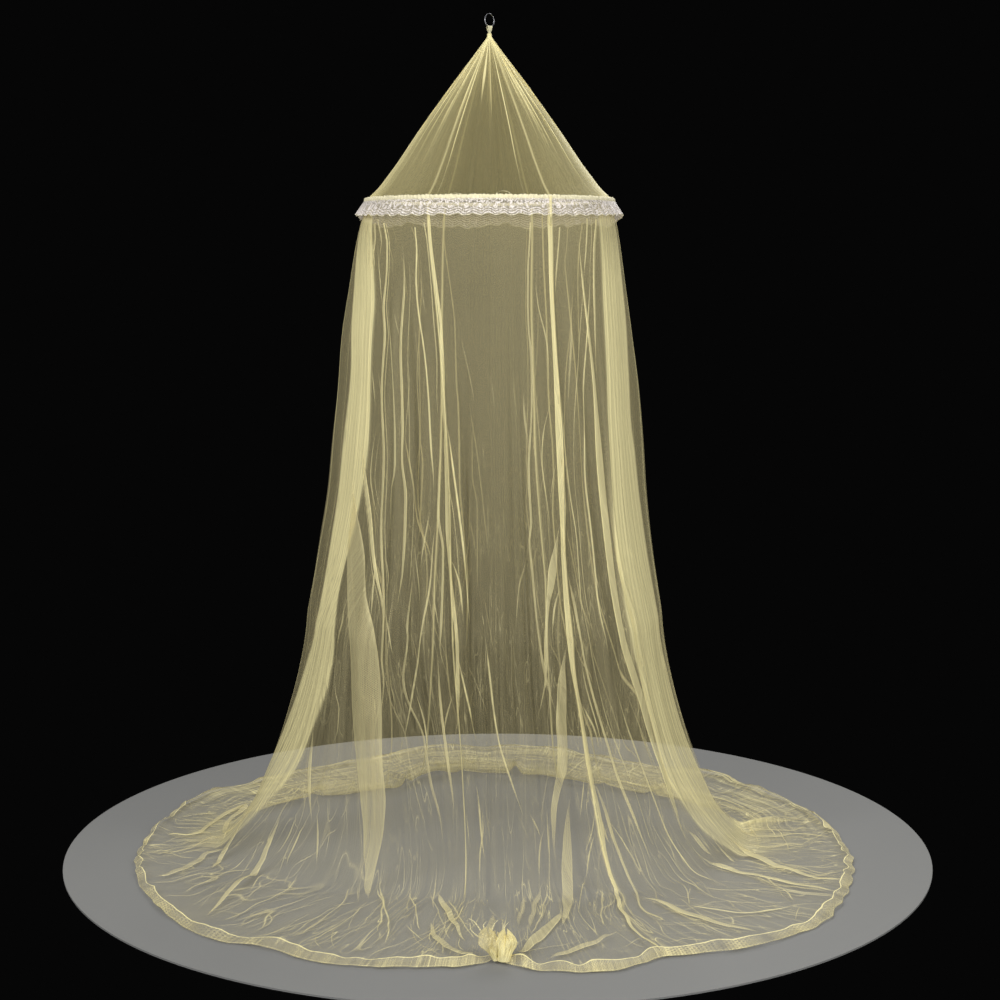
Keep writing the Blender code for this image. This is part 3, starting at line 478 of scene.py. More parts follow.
    (0.45, ((50.4, 0.18, 2.3), (54.7, 0.08, 2.3), (55.8, 0.02, 2.3), (48.4, -0.3, 2.2))),
    (0.45, ((36.3, -0.02, 2.2), (30.2, -0.33, 2.2), (27.1, -0.69, 2.1))),
    (0.4, ((25.5, -0.67, 2.1), (33.2, -0.71, 2.1), (34.5, -0.84, 2.1))),
    (0.35, ((29.3, -0.51, 2.1), (35.3, -0.6, 2.1), (38.7, -0.72, 2.1))),
    (0.35, ((33.1, -0.77, 2.1), (27.4, -0.83, 2.1), (22.7, -0.85, 2))),
    (0.45, ((25.5, -0.73, 2.6), (20.7, -0.79, 2.6), (16.2, -0.8, 2.5))),
    (0.4, ((61.5, -0.44, 2.8), (61.3, -0.67, 2.8), (62.2, -0.91, 2.8))),
    (0.4, ((52.4, -0.18, 2.8), (54.2, -0.35, 2.8), (59.2, -0.56, 2.8))),
    (0.35, ((47.8, -0.22, 2.2), (48.5, -0.38, 2.2), (50.2, -0.53, 2.2), (52.9, -0.66, 2.2))),
    (0.35, ((54.7, -0.78, 2.2), (46.3, -0.91, 2.1))),
    (0.35, ((34.5, -0.4, 2.2), (52.4, -0.45, 2.2))),
    (0.5, ((1.2, -0.28, 3), (0.4, -0.5, 14), (0.5, -0.7, 4))),
)


# ------------------------------------------------------------------ small helpers
def linear(hex_colour):
    """An sRGB hex colour as linear red, green and blue."""
    parts = [int(hex_colour[k : k + 2], 16) / 255 for k in (0, 2, 4)]
    return tuple(c / 12.92 if c <= 0.04045 else ((c + 0.055) / 1.055) ** 2.4 for c in parts)


def smooth(x):
    """A soft step from 0 to 1."""
    x = np.clip(x, 0.0, 1.0)
    return x * x * (3 - 2 * x)


def bump_at(away, width):
    """A soft hump, 1 in its middle and fading over the width."""
    return np.exp(-((away / width) ** 2))


def signed(angle):
    """The same direction as an angle from -180 to 180."""
    return (angle + 180.0) % 360.0 - 180.0


def glide(places, values, x):
    """A curve through the values that turns softly at each place and never swings past one."""
    places, values, x = (np.asarray(a, float) for a in (places, values, x))
    runs = np.diff(values) / np.diff(places)
    product = runs[:-1] * runs[1:]
    turns = np.where(product > 0, 2 * product / (runs[:-1] + runs[1:] + 1e-12), 0.0)
    slopes = np.concatenate(([runs[0]], turns, [runs[-1]]))
    k = np.clip(np.searchsorted(places, x) - 1, 0, len(places) - 2)
    step = places[k + 1] - places[k]
    t = np.clip((x - places[k]) / step, 0.0, 1.0)
    rise = values[k] * (1 + 2 * t) * (1 - t) ** 2 + values[k + 1] * t * t * (3 - 2 * t)
    return rise + slopes[k] * step * t * (1 - t) ** 2 - slopes[k + 1] * step * t * t * (1 - t)


def column(rows, k):
    """One column of a table."""
    return [row[k] for row in rows]


def round_table(rows, angle):
    """Reads a table that runs once round, smoothly across its joint."""
    whole = [(a - 360, v) for a, v in rows[-4:-1]] + list(rows) + [(a + 360, v) for a, v in rows[1:4]]
    return glide(column(whole, 0), column(whole, 1), signed(np.asarray(angle)))


def wobble(seed, count, angle, path, fastest):
    """A few seeded waves added together, for cloth that is never quite even."""
    rng = np.random.default_rng(seed)
    total = 0.0
    for _ in range(count):
        round_turns = rng.integers(3, fastest)
        along = rng.uniform(-6, 6)
        phase = rng.uniform(0, 2 * math.pi)
        total = total + np.sin(np.radians(angle) * round_turns + along * path + phase)
    return total / count


def together(*arrays):
    """Stacks values that run across or along the cloth as one table of points."""
    return np.stack(np.broadcast_arrays(*arrays), -1)


def round_points(reach, turned, height):
    """Points round the canopy's axis. The turn is in radians from the front."""
    return together(reach * np.sin(turned), -reach * np.cos(turned), height)


def add_node(tree, kind, inputs=None, **settings):
    """Adds a shader node with its settings, and sets or links each input by its name or number.

    A MapRange's inputs 1 to 4 are the range that it reads and then the range that it gives. A Mix's
    inputs 0, 6 and 7 are its factor and its two colours."""
    node = tree.nodes.new("ShaderNode" + kind)
    for name, value in settings.items():
        setattr(node, name, value)
    for key, value in (inputs or {}).items():
        if isinstance(value, bpy.types.NodeSocket):
            tree.links.new(value, node.inputs[key])
        else:
            node.inputs[key].default_value = value
    return node.outputs[0]


def new_material(name):
    """A material with its Principled shader."""
    mat = bpy.data.materials.new(name)
    mat.use_nodes = True
    return mat, mat.node_tree, mat.node_tree.nodes["Principled BSDF"]


def wire(tree, shader, **sockets):
    """Links or sets the shader's own sockets. An underscore in a name stands for a space."""
    for key, value in sockets.items():
        socket = shader.inputs[key.replace("_", " ")]
        if isinstance(value, bpy.types.NodeSocket):
            tree.links.new(value, socket)
        else:
            socket.default_value = value


def cloth_grid(name, points, mat, uv, closed=False, turned=False, **attributes):
    """Cloth through rows of points, as one patch or several, with its UV map and point attributes."""
    rows, columns = points.shape[-3:-1]
    wide = columns if closed else columns - 1
    patches = points.size // (3 * rows * columns)
    patch, r, c = np.meshgrid(np.arange(patches), np.arange(rows - 1), np.arange(wide), indexing="ij")
    r, d = r + patch * rows, (c + 1) % columns
    quads = np.stack([r * columns + c, (r + 1) * columns + c, (r + 1) * columns + d, r * columns + d], -1)
    quads = quads.reshape(-1, 4)[:, ::-1] if turned else quads.reshape(-1, 4)
    mesh = bpy.data.meshes.new(name)
    mesh.vertices.add(points.size // 3)
    mesh.vertices.foreach_set("co", points.flatten())
    mesh.loops.add(quads.size)
    mesh.loops.foreach_set("vertex_index", quads.flatten())
    mesh.polygons.add(len(quads))
    mesh.polygons.foreach_set("loop_start", np.arange(0, quads.size, 4))
    corner = uv.reshape(-1, 2)[quads.flatten()]
    mesh.uv_layers.new(name="cloth").data.foreach_set("uv", corner.flatten())
    for key, values in attributes.items():
        values = np.broadcast_to(values, points.shape[:-1]).astype(float)
        mesh.attributes.new(key, "FLOAT", "POINT").data.foreach_set("value", values.flatten())
    mesh.update(calc_edges=True)
    mesh.validate()
    mesh.materials.append(mat)
    mesh.shade_smooth()
    obj = bpy.data.objects.new(name, mesh)
    bpy.context.scene.collection.objects.link(obj)
    return obj


def join_pieces(pieces, name):
    """Makes one piece of several."""
    bpy.ops.object.select_all(action="DESELECT")
    for piece in pieces:
        piece.select_set(True)
    bpy.context.view_layer.objects.active = pieces[0]
    bpy.ops.object.join()
    pieces[0].name = name
    return pieces[0]


# ------------------------------------------------------------------ materials
# how fine each pattern is, as repeats in a metre of cloth or wire
NET_GRAIN = 330.0  # 3 mm, a few stitches
NET_STREAKS = (70.0, 1.2, 1.0)  # 14 mm across the cloth and 0.8 m along it
NET_PATCHES = 5.0  # 200 mm, where small creases come and go
LACE_SWIRL = 62.0  # 16 mm, a sprig
LACE_DRIFT = 75.0  # 13 mm
LACE_BUDS = 110.0  # 9 mm, a small flower
LACE_THREAD = 230.0  # 4 mm, drawn coarse
WIRE_GRAIN = 900.0  # 1 mm, drawing marks
ROD_PEEL = 260.0  # 4 mm, orange peel
LACE_ROW = 0.0060  # from one row of thread to the next
LACE_ZIG = 0.009  # how deep a row follows the scallops
LACE_GROUND = 0.0042  # between ground threads, drawn coarse
# Small creases: lean in degrees, repeats in a metre across and along, the level of the noise that
# draws the line, its half width in that noise, and its strength.
NET_CREASES = (
    (-9.0, 26.0, 3.2, 0.50, 0.010, 0.55),
    (8.0, 41.0, 4.6, 0.46, 0.012, 0.42),
    (24.0, 42.0, 5.5, 0.53, 0.013, 0.34),
)
MOST_COVER = 0.97  # even the closest cloth lets a little light by


def net_material(name, look, sheer):
    """Knitted polyester net: fine pale threads with open holes, dull, with a faint silky sheen.

    The cloth's points steer it: cover is what one layer stops, gather is what closer cloth adds to
    that, and crumple says how much it is creased."""
    mat, tree, shader = new_material(name)
    uv = add_node(tree, "UVMap", uv_map="cloth")
    cover, gather, crumple = (
        add_node(tree, "Attribute", attribute_name=key).node.outputs["Fac"]
        for key in ("cover", "gather", "crumple")
    )
    # Real holes are about 1.5 mm. They are drawn at net_pitch, as fine as a render can show.
    waves = []
    for turn in (0.0, 60.0, 120.0):
        turned = add_node(tree, "Mapping", {"Vector": uv, "Rotation": (0.0, 0.0, math.radians(turn))})
        across = add_node(tree, "SeparateXYZ", {"Vector": turned})
        phase = add_node(tree, "Math", {0: across, 1: 2 * math.pi / look.net_pitch}, operation="MULTIPLY")
        waves.append(add_node(tree, "Math", {0: phase}, operation="COSINE"))
    total = add_node(tree, "Math", {0: waves[0], 1: waves[1]}, operation="ADD")
    total = add_node(tree, "Math", {0: total, 1: waves[2]}, operation="ADD")
    knit = add_node(tree, "MapRange", {"Value": total, 1: 2.2, 2: -1.4, 3: 0.30, 4: 1.50})
    # the stitches are never quite even
    grain = add_node(tree, "TexNoise", {"Vector": uv, "Scale": NET_GRAIN, "Detail": 2.0, "Roughness": 0.8})
    grain = add_node(tree, "MapRange", {"Value": grain, 1: 0.3, 2: 0.7, 3: 0.72, 4: 1.28})
    knit = add_node(tree, "Math", {0: knit, 1: grain}, operation="MULTIPLY")
    # lengthwise streaks, stronger where the net is creased and where it is gathered
    laid = add_node(tree, "Mapping", {"Vector": uv, "Scale": NET_STREAKS})
    noise = add_node(tree, "TexNoise", {"Vector": laid, "Scale": 1.0, "Detail": 4.0, "Roughness": 0.65})
    streak = add_node(tree, "MapRange", {"Value": noise, 1: 0.3, 2: 0.7, 3: -0.38, 4: 0.42})
    lined = add_node(tree, "MapRange", {"Value": streak, 1: -0.38, 2: 0.42, 3: 0.74, 4: 1.26})
    firm = add_node(tree, "MapRange", {"Value": crumple, 1: 0.0, 2: 0.4, 3: 0.2, 4: 1.0})
    streak = add_node(tree, "Math", {0: streak, 1: firm}, operation="MULTIPLY")
    streak = add_node(tree, "Math", {0: streak, 1: 1.0}, operation="ADD")
    # creases too small to model: long thin bright lines that run with the cloth and fork
    lines = []
    for lean, across, along, level, wide, strong in NET_CREASES:
        turn, fine = (0.0, 0.0, math.radians(lean)), (across, along, 1.0)
        laid = add_node(tree, "Mapping", {"Vector": uv, "Rotation": turn, "Scale": fine})
        bend = add_node(tree, "TexNoise", {"Vector": laid, "Scale": 1.0, "Detail": 0.5, "Distortion": 0.2})
        away = add_node(tree, "Math", {0: bend, 1: level}, operation="SUBTRACT")
        away = add_node(tree, "Math", {0: away}, operation="ABSOLUTE")
        lines.append(add_node(tree, "MapRange", {"Value": away, 1: 0.0, 2: wide, 3: strong, 4: 0.0}))
    crinkle = add_node(tree, "Math", {0: lines[0], 1: lines[1]}, operation="MAXIMUM")
    crinkle = add_node(tree, "Math", {0: crinkle, 1: lines[2]}, operation="MAXIMUM")
    # the lines come and go in patches
    patch = add_node(tree, "TexNoise", {"Vector": uv, "Scale": NET_PATCHES, "Detail": 1.0})
    patch = add_node(tree, "MapRange", {"Value": patch, 1: 0.36, 2: 0.56, 3: 0.0, 4: 1.0})
    crinkle = add_node(tree, "Math", {0: crinkle, 1: patch}, operation="MULTIPLY")
    crinkle = add_node(tree, "Math", {0: crinkle, 1: crumple}, operation="MULTIPLY")
    # one layer, with what closer cloth and creases add to it
    alpha = add_node(tree, "Math", {0: cover, 1: knit}, operation="MULTIPLY")
    alpha = add_node(tree, "Math", {0: alpha, 1: streak}, operation="MULTIPLY")
    lined = add_node(tree, "Math", {0: gather, 1: lined}, operation="MULTIPLY")
    alpha = add_node(tree, "Math", {0: alpha, 1: lined}, operation="ADD")
    alpha = add_node(tree, "Math", {0: alpha, 1: crinkle}, operation="ADD")
    alpha = add_node(tree, "Math", {0: alpha, 1: MOST_COVER}, operation="MINIMUM")
    tone = add_node(tree, "MapRange", {"Value": alpha, 1: 0.10, 2: 0.75})
    colours = {0: tone, 6: (*sheer, 1), 7: (*look.net_dense, 1)}
    mixed = add_node(tree, "Mix", colours, data_type="RGBA").node.outputs[2]
    bump = add_node(tree, "Bump", {"Height": knit, "Strength": 0.15, "Distance": 0.0006})
    wire(tree, shader, Base_Color=mixed, Alpha=alpha, Roughness=0.62, Normal=bump)
    wire(tree, shader, Sheen_Weight=0.25, Sheen_Roughness=0.4, Sheen_Tint=(*look.net_dense, 1))
    wire(tree, shader, Specular_IOR_Level=0.35)
    return mat


def lace_material(look):
    """Raschel lace in bright white nylon: scalloped rows of thread over an open ground."""
    mat, tree, shader = new_material("nylon_raschel_lace")
    uv = add_node(tree, "UVMap", uv_map="cloth")
    parts = add_node(tree, "SeparateXYZ", {"Vector": uv}).node
    along, down = parts.outputs["X"], parts.outputs["Y"]
    # zigzag rows that follow the scallops and wander off into sprigs higher up
    turn = add_node(tree, "Math", {0: along, 1: look.scallop_pitch}, operation="DIVIDE")
    zig = add_node(tree, "Math", {0: turn, 1: 0.5}, operation="PINGPONG")
    zig = add_node(tree, "Math", {0: zig, 1: LACE_ZIG}, operation="MULTIPLY")
    level = add_node(tree, "Math", {0: down, 1: zig}, operation="SUBTRACT")
    swirl = add_node(tree, "TexNoise", {"Vector": uv, "Scale": LACE_SWIRL, "Detail": 1.5})
    away = add_node(tree, "MapRange", {"Value": down, 1: 0.006, 2: 0.022, 3: 0.034, 4: 0.0015})
    swirl = add_node(tree, "Math", {0: swirl, 1: away}, operation="MULTIPLY")
    level = add_node(tree, "Math", {0: level, 1: swirl}, operation="ADD")
    phase = add_node(tree, "Math", {0: level, 1: 2 * math.pi / LACE_ROW}, operation="MULTIPLY")
    rows = add_node(tree, "Math", {0: phase}, operation="COSINE")
    rows = add_node(tree, "MapRange", {"Value": rows, 1: -0.4, 2: 0.5, 3: 0.18, 4: 0.84})
    # small closed flowers and open eyelets, pushed out of line
    noise = add_node(tree, "TexNoise", {"Vector": uv, "Scale": LACE_DRIFT, "Detail": 1.0}).node
    push = {0: noise.outputs["Color"], 1: (0.022, 0.022, 0.0)}
    drift = add_node(tree, "VectorMath", push, operation="MULTIPLY")
    drift = add_node(tree, "VectorMath", {0: drift, 1: uv}, operation="ADD")
    bud = add_node(tree, "TexVoronoi", {"Vector": drift, "Scale": LACE_BUDS, "Randomness": 1.0})
    eyelet = add_node(tree, "MapRange", {"Value": bud, 1: 0.14, 2: 0.24, 3: 0.0, 4: 1.0})
    petal = add_node(tree, "MapRange", {"Value": bud, 1: 0.24, 2: 0.40, 3: 0.72, 4: 0.0})
    body = add_node(tree, "Math", {0: rows, 1: petal}, operation="MAXIMUM")
    body = add_node(tree, "Math", {0: body, 1: eyelet}, operation="MULTIPLY")
    # ground threads
    mesh = add_node(tree, "Math", {0: along, 1: 2 * math.pi / LACE_GROUND}, operation="MULTIPLY")
    mesh = add_node(tree, "Math", {0: mesh}, operation="SINE")
    mesh = add_node(tree, "MapRange", {"Value": mesh, 1: 0.2, 2: 0.9, 3: 0.0, 4: 0.20})
    body = add_node(tree, "Math", {0: body, 1: mesh}, operation="ADD")
    thread = add_node(tree, "TexNoise", {"Vector": uv, "Scale": LACE_THREAD, "Detail": 2.0})
    thread = add_node(tree, "MapRange", {"Value": thread, 1: 0.36, 2: 0.64, 3: 0.45, 4: 1.30})
    body = add_node(tree, "Math", {0: body, 1: thread}, operation="MULTIPLY")
    # at the sides the frill is seen edge on, so it looks closer, and its edge is a close cord
    close, edge = (
        add_node(tree, "Attribute", attribute_name=key).node.outputs["Fac"] for key in ("cover", "gather")
    )
    # the closer sides are partly painted light: they brighten the sides, where less light falls
    body = add_node(tree, "Math", {0: body, 1: close}, operation="ADD")
    body = add_node(tree, "Math", {0: body, 1: edge}, operation="MAXIMUM")
    body = add_node(tree, "Math", {0: body, 1: MOST_COVER}, operation="MINIMUM")
    colours = {0: edge, 6: (*look.lace_white, 1), 7: (*look.lace_edge, 1)}
    mixed = add_node(tree, "Mix", colours, data_type="RGBA").node.outputs[2]
    bump = add_node(tree, "Bump", {"Height": body, "Strength": 0.5, "Distance": 0.0005})
    wire(tree, shader, Base_Color=mixed, Alpha=body, Roughness=0.55, Normal=bump)
    wire(tree, shader, Sheen_Weight=0.3, Sheen_Roughness=0.35)
    return mat


def shaded(tree, amount, tint, darkest):
    """A colour that falls to its darkest share where the amount is 0."""
    colours = {0: amount, 6: (*(darkest * c for c in tint), 1), 7: (*tint, 1)}
    return add_node(tree, "Mix", colours, data_type="RGBA").node.outputs[2]


def binding_material(name, tint, rib):
    """Net and tape folded thick: close yarn, ribbed across, pale and slightly silky."""
    mat, tree, shader = new_material(name)
    uv = add_node(tree, "UVMap", uv_map="cloth")
    yarn = add_node(tree, "Mapping", {"Vector": uv, "Scale": (1 / rib, 0.25 / rib, 1.0)})
    grain = add_node(tree, "TexNoise", {"Vector": yarn, "Scale": 1.0, "Detail": 3.0, "Roughness": 0.6})
    shade = add_node(tree, "MapRange", {"Value": grain, 1: 0.3, 2: 0.7, 3: 0.0, 4: 1.0})
    bump = add_node(tree, "Bump", {"Height": grain, "Strength": 0.6, "Distance": 0.0008})
    wire(tree, shader, Base_Color=shaded(tree, shade, tint, 0.74), Roughness=0.7, Normal=bump)
    wire(tree, shader, Sheen_Weight=0.3, Sheen_Roughness=0.4)
    return mat


def steel_material(look):
    """Zinc-plated spring wire: drawn along its length, grey, with a soft broken shine."""
    mat, tree, shader = new_material("zinc_plated_wire_drawn")
    place = add_node(tree, "TexCoord").node.outputs["Object"]
    grain = add_node(tree, "TexNoise", {"Vector": place, "Scale": WIRE_GRAIN, "Detail": 4.0})
    rough = add_node(tree, "MapRange", {"Value": grain, 1: 0.3, 2: 0.7, 3: 0.24, 4: 0.46})
    tone = add_node(tree, "MapRange", {"Value": grain, 1: 0.3, 2: 0.7})
    bump = add_node(tree, "Bump", {"Height": grain, "Strength": 0.2, "Distance": 0.0001})
    wire(tree, shader, Base_Color=shaded(tree, tone, look.steel, 0.7), Metallic=1.0)
    wire(tree, shader, Roughness=rough, Normal=bump)
    return mat


def rod_material(look):
    """Lacquered steel rod of the hoop: smooth cream paint with a slight orange peel."""
    mat, tree, shader = new_material("lacquered_hoop_rod")
    place = add_node(tree, "TexCoord").node.outputs["Object"]
    peel = add_node(tree, "TexNoise", {"Vector": place, "Scale": ROD_PEEL, "Detail": 2.0})
    bump = add_node(tree, "Bump", {"Height": peel, "Strength": 0.15, "Distance": 0.0002})
    tone = add_node(tree, "MapRange", {"Value": peel, 1: 0.3, 2: 0.7})
    wire(tree, shader, Base_Color=shaded(tree, tone, look.rod, 0.85), Roughness=0.4, Normal=bump)
    return mat


# ------------------------------------------------------------------ the skirt
KNEE = WALL[-1][0]  # below this height the net runs outwards to the floor
FOOT_FLARE = 0.036  # its last turn outwards
FLARE_HEIGHT = 0.12
BEND = 0.07  # the stretch of path over which it turns onto the floor
BEND_ROUNDS = 10
WALL_ROWS = 116
FLOOR_ROWS = 58
HEM_LINE = 1.93  # path of the hem's inner line
HEM_ROWS = (1.955, 1.97, 1.985, 2.0)
READ_STEPS = 2  # columns of the drape's tables in a degree
ROUND_COLUMNS = 925  # columns of cloth round the whole skirt
SEAM_HALF = 0.0024
# each panel's width along the hem, and its area laid flat
PANEL_CLOTH = {"front": (0.52, 0.86), "right": (2.12, 2.98), "back": (0.63, 0.91), "left": (2.40, 3.26)}
# where the hem is pulled at the tied bunch: angle, half width, height, 0 at its inner line or 1 at its edge
HEM_PULLS = ((-2.4, 1.0, 0.008, 0.0), (5.2, 1.2, 0.008, 0.0), (1.2, 0.9, 0.012, 1.0))
TIE_ANGLE = 1.4
# the hem's second layer, from its edge back to its inner line: share of its width, height over the first
HEM_RETURN = (
    (0.06, 0.001), (0.12, 0.0014), (0.35, 0.0018), (0.68, 0.0018), (0.90, 0.0016), (0.95, 0.0014),
    (1.0, 0.001),
)


def path_of(height):
    """Path of a point given by its height, or below zero by its share of the way to the hem."""
    return 1 - height / WALL[0][0] if height > 0 else 1 - height


def drawn_angle(paths, hoop_angle):
    """Where one line of the cloth lies at each path."""
    turns = 360.0 * math.floor((hoop_angle + 180.0) / 360.0)
    starts = column(LINES, 0)
    at_places = [np.interp(hoop_angle - turns, starts, column(LINES, k)) for k in range(len(LINE_PATHS))]
    return turns + glide(LINE_PATHS, at_places, paths)


def cloth_lines(paths):
    """Angle of every line of LINES at each path, as rows x lines."""
    return np.stack([glide(LINE_PATHS, row, paths) for row in LINES], -1)


def wall_radius(height, angle):
    """How far out the net hangs at a height."""
    share = (1 - np.sin(np.radians(angle))) / 2
    levels = column(WALL, 0)[::-1]
    z = np.maximum(height, KNEE)
    left = glide(levels, column(WALL, 1)[::-1], z)
    right = glide(levels, column(WALL, 2)[::-1], z)
    base = left * share + right * (1 - share)
    run = np.maximum(0.0, 1 - height / KNEE) ** 1.5
    flare = FOOT_FLARE * np.maximum(0.0, 1 - height / FLARE_HEIGHT) ** 2
    foot = round_table(FOOT, angle) - FOOT_FLARE
    return base + (foot - base) * run + flare


def skirt_paths():
    """The path of every row of the skirt."""
    wall = 1 - np.linspace(1, 0, WALL_ROWS)
    floor = 1 + np.linspace(0, HEM_LINE - 1, FLOOR_ROWS)[1:]
    return np.concatenate((wall, floor, HEM_ROWS))


class Drape:
    """The hung skirt. It can be read at any path and angle."""

    def __init__(self, look):
        self.look = look
        self.paths = skirt_paths()
        angles = np.arange(-180, 180.1, 1 / READ_STEPS)
        path, angle = np.meshgrid(self.paths, angles, indexing="ij")
        height = WALL[0][0] * np.maximum(0.0, 1 - path)
        foot = wall_radius(np.zeros_like(path), angle)
        hem = round_table(HEM, angle) + 0.0070 * wobble(13, 8, angle, 0.0, 80)
        hem = hem + 0.0015 * wobble(15, 8, angle, 0.0, 160)
        radius = np.where(path > 1, foot + (hem - foot) * (path - 1), wall_radius(height, angle))
        # the net turns onto the floor in a soft round bend
        weight = bump_at(self.paths - 1.0, BEND)[:, None]
        for _ in range(BEND_ROUNDS):
            for values in (radius, height):
                values[1:-1] += weight[1:-1] * 0.25 * (values[2:] - 2 * values[1:-1] + values[:-2])
        self.radius, self.height = radius, height
        starts = column(LINES, 0)
        self.cloth = np.stack([np.interp(angles, row, starts) for row in cloth_lines(self.paths)])
        steps = np.hypot(np.diff(radius, axis=0), np.diff(height, axis=0)).mean(axis=1)
        self.down = np.concatenate(([0.0], np.cumsum(steps)))

    def read(self, table, path, angle):
        """Reads one of the tables by path and by angle."""
        row = np.interp(path, self.paths, np.arange(len(self.paths)))
        place = ((angle + 180.0) % 360.0) * READ_STEPS
        r, c = np.minimum(row.astype(int), len(self.paths) - 2), place.astype(int)
        row, place = row - r, place - c
        near = table[r, c] * (1 - place) + table[r, c + 1] * place
        far = table[r + 1, c] * (1 - place) + table[r + 1, c + 1] * place
        return near * (1 - row) + far * row

    def bunches(self, path, angle):
        """Lift, side step and gather of the two close bunches of pleats."""
        lift, side, gather = np.zeros_like(path), np.zeros_like(path), np.zeros_like(path)
        for table in BUNCHES:
            inner, outer = (glide(column(table, 0), column(table, k), path) for k in (1, 2))
            turn = (angle - inner) / (outer - inner)
            edge = smooth((turn + 0.01) / 0.04) * smooth((1.02 - turn) / 0.10)
            deep = smooth(path / 0.10) * (1 - smooth((path - 0.8) / 0.5)) * edge
            pleats = wobble(23, 7, 170 * turn, 2.5 * path, 36)
            lift += 0.0020 * deep * pleats + 0.0030 * smooth((path - 0.7) / 0.25) * deep
            side += 0.0006 * deep * pleats
            # it opens out unevenly where it nears the floor
            end = path + 0.13 * np.clip(wobble(29, 7, 170 * turn, 0.0, 40), -0.7, 1.2)
            close = np.interp(end, (0.0, 0.62, 0.90, 1.02, 1.20, 1.55), (1.0, 1.0, 0.74, 0.52, 0.28, 0.0))
            rim = bump_at(turn, 0.05) + 0.8 * bump_at(turn - 0.98, 0.04)
            # just under the hoop its pleats still stand apart
            parted = 1 - smooth(path / 0.13)
            depth = (0.5 + 1.3 * parted) * wobble(21, 9, 170 * turn, 3 * path, 75)
            streaks = np.clip(1 + depth - 0.2 * parted, 0.25, 1.4)
            parted *= 0.40 if table[0][1] > 0 else 0.10
            gather += (self.look.bunch_cover * edge * streaks * (1 - parted) + 0.22 * rim) * close
        return lift, side, gather

    @staticmethod
    def billows(cloth, path, radius):
        """Lift of the soft billows."""
        lift = np.zeros_like(path)
        for centre, start, peak, end, tall, half in BILLOWS:
            away = np.radians(np.abs(signed(cloth - centre))) * radius
            along = smooth((path - start) / (peak - start)) * smooth((end - path) / (end - peak))
            lift += np.where(away < half, tall * along * (0.5 + 0.5 * np.cos(math.pi * away / half)), 0.0)
        return lift

    def seams(self, cloth, path, radius):
        """Gather of the seams, which show less on the floor."""
        seam = np.zeros_like(path)
        for _, edge, _ in PANELS:
            away = np.radians(np.abs(signed(cloth - edge))) * radius
            seam = np.maximum(seam, bump_at(away, SEAM_HALF))
        return self.look.seam_cover * seam * (1 - 0.6 * smooth((path - 0.97) / 0.08))

    @staticmethod
    def pile(path, angle):
        """Gather of the net that has piled up behind where it reaches the floor, crushed and uneven."""
        around = signed(angle)
        start = np.where(around > 0, 80, 95)
        behind = smooth((np.abs(around) - start) / 30) * smooth((path - 0.93) / 0.09)
        warped = 26 * (path + 0.035 * wobble(4, 9, angle, 2 * path, 60))
        crumbs = np.clip(0.8 + 2.6 * wobble(3, 14, angle, warped, 22), 0.1, 2.2)
        rim = bump_at(path - 1.0 - 0.03 * wobble(17, 6, angle, 0.0, 60), 0.02)
        return behind * (0.24 * crumbs + 0.20 * rim)

    @staticmethod
    def hem_lift(path, angle):
        """The hem stands up a little along its inner line."""
        around = signed(angle)
        stands = np.interp(path, (1.0, 1.74, HEM_LINE, 2.0), (0.0, 0.0, 1.0, 0.15))
        stands = stands * (1 - 0.9 * bump_at(around - TIE_ANGLE, 1.3))
        uneven = 1 + 1.7 * wobble(9, 7, angle, 0.0, 44) + 0.4 * wobble(43, 8, angle, 2 * path, 120)
        stands = stands * uneven
        lift = 0.008 * np.maximum(stands, -0.1)
        # beside the tied bunch it stands higher, and at the tie it is pulled off the floor
        for middle, half, tall, edge in HEM_PULLS:
            pull = np.interp(path, (1.80, HEM_LINE, 2.0), (0.0, 1 - edge, edge))
            lift = lift + tall * pull * bump_at(around - middle, half)
        return lift

    def at(self, path, angle, rise=0.0):
        """Points, cover, gather and crumple of the net."""
        look = self.look
        radius, height = self.read(self.radius, path, angle), self.read(self.height, path, angle)
        cloth = self.read(self.cloth, path, angle)
        around = signed(angle)
        flank = np.abs(around)
        lean = math.pi / 2 * smooth((path - 0.70) / 0.32)
        lift, side, gather = self.bunches(path, around)
        gather = gather + self.seams(cloth, path, radius) + self.pile(path, angle)
        # the net stands closer at the two sides
        gather = gather + 0.07 * bump_at(flank - 84, 5) * (1 - smooth((path - 0.8) / 0.2))
        crush = smooth((path - 0.93) / 0.12) * (1 - 0.5 * smooth((path - 1.9) / 0.1))
        lift = lift + self.billows(cloth, path, radius) + self.hem_lift(path, angle)
        lift = lift + crush * 0.0045 * (1 + wobble(7, 9, angle, 3 * path, 60))
        lift = lift + 0.0035 * smooth(path / 0.2) * wobble(5, 7, angle, path, 24) + rise
        up = height + lift * np.sin(lean) + 0.0018 * smooth(path)
        turned = np.radians(angle) + side / radius
        points = round_points(radius + lift * np.cos(lean), turned, up - look.floor_drop)
        fuller = np.where(around > 0, 0.36, 0.20)
        cover = np.interp(path, (0.0, 0.12, 0.4, 0.7, 1.0, 2.0), look.net_cover)
        cover = cover * (1 + fuller * smooth((flank - 22) / 25) * (1 - smooth((path - 0.9) / 0.2)))
        crumple = 0.03 + 0.47 * smooth((path - 0.30) / 0.35) + 0.5 * crush
        return points, cover, gather, crumple


# ------------------------------------------------------------------ knife folds
# across a narrow fold and a wide one: place over the width, height in mm, share of the bulk
NARROW = ((-0.5, 0.3, 0.55), (-0.15, 1.1, 1.0), (0.20, 1.1, 1.0), (0.5, 0.2, 0.45))
WIDE = (
    (-0.5, 0.3, 0.9), (-0.46, 1.1, 0.78), (-0.40, 1.3, 0.56), (0, 1.5, 0.54), (0.39, 1.7, 0.58),
    (0.46, 1.5, 0.82), (0.5, 0.5, 0.9),
)
WIDE_FROM = 0.0062
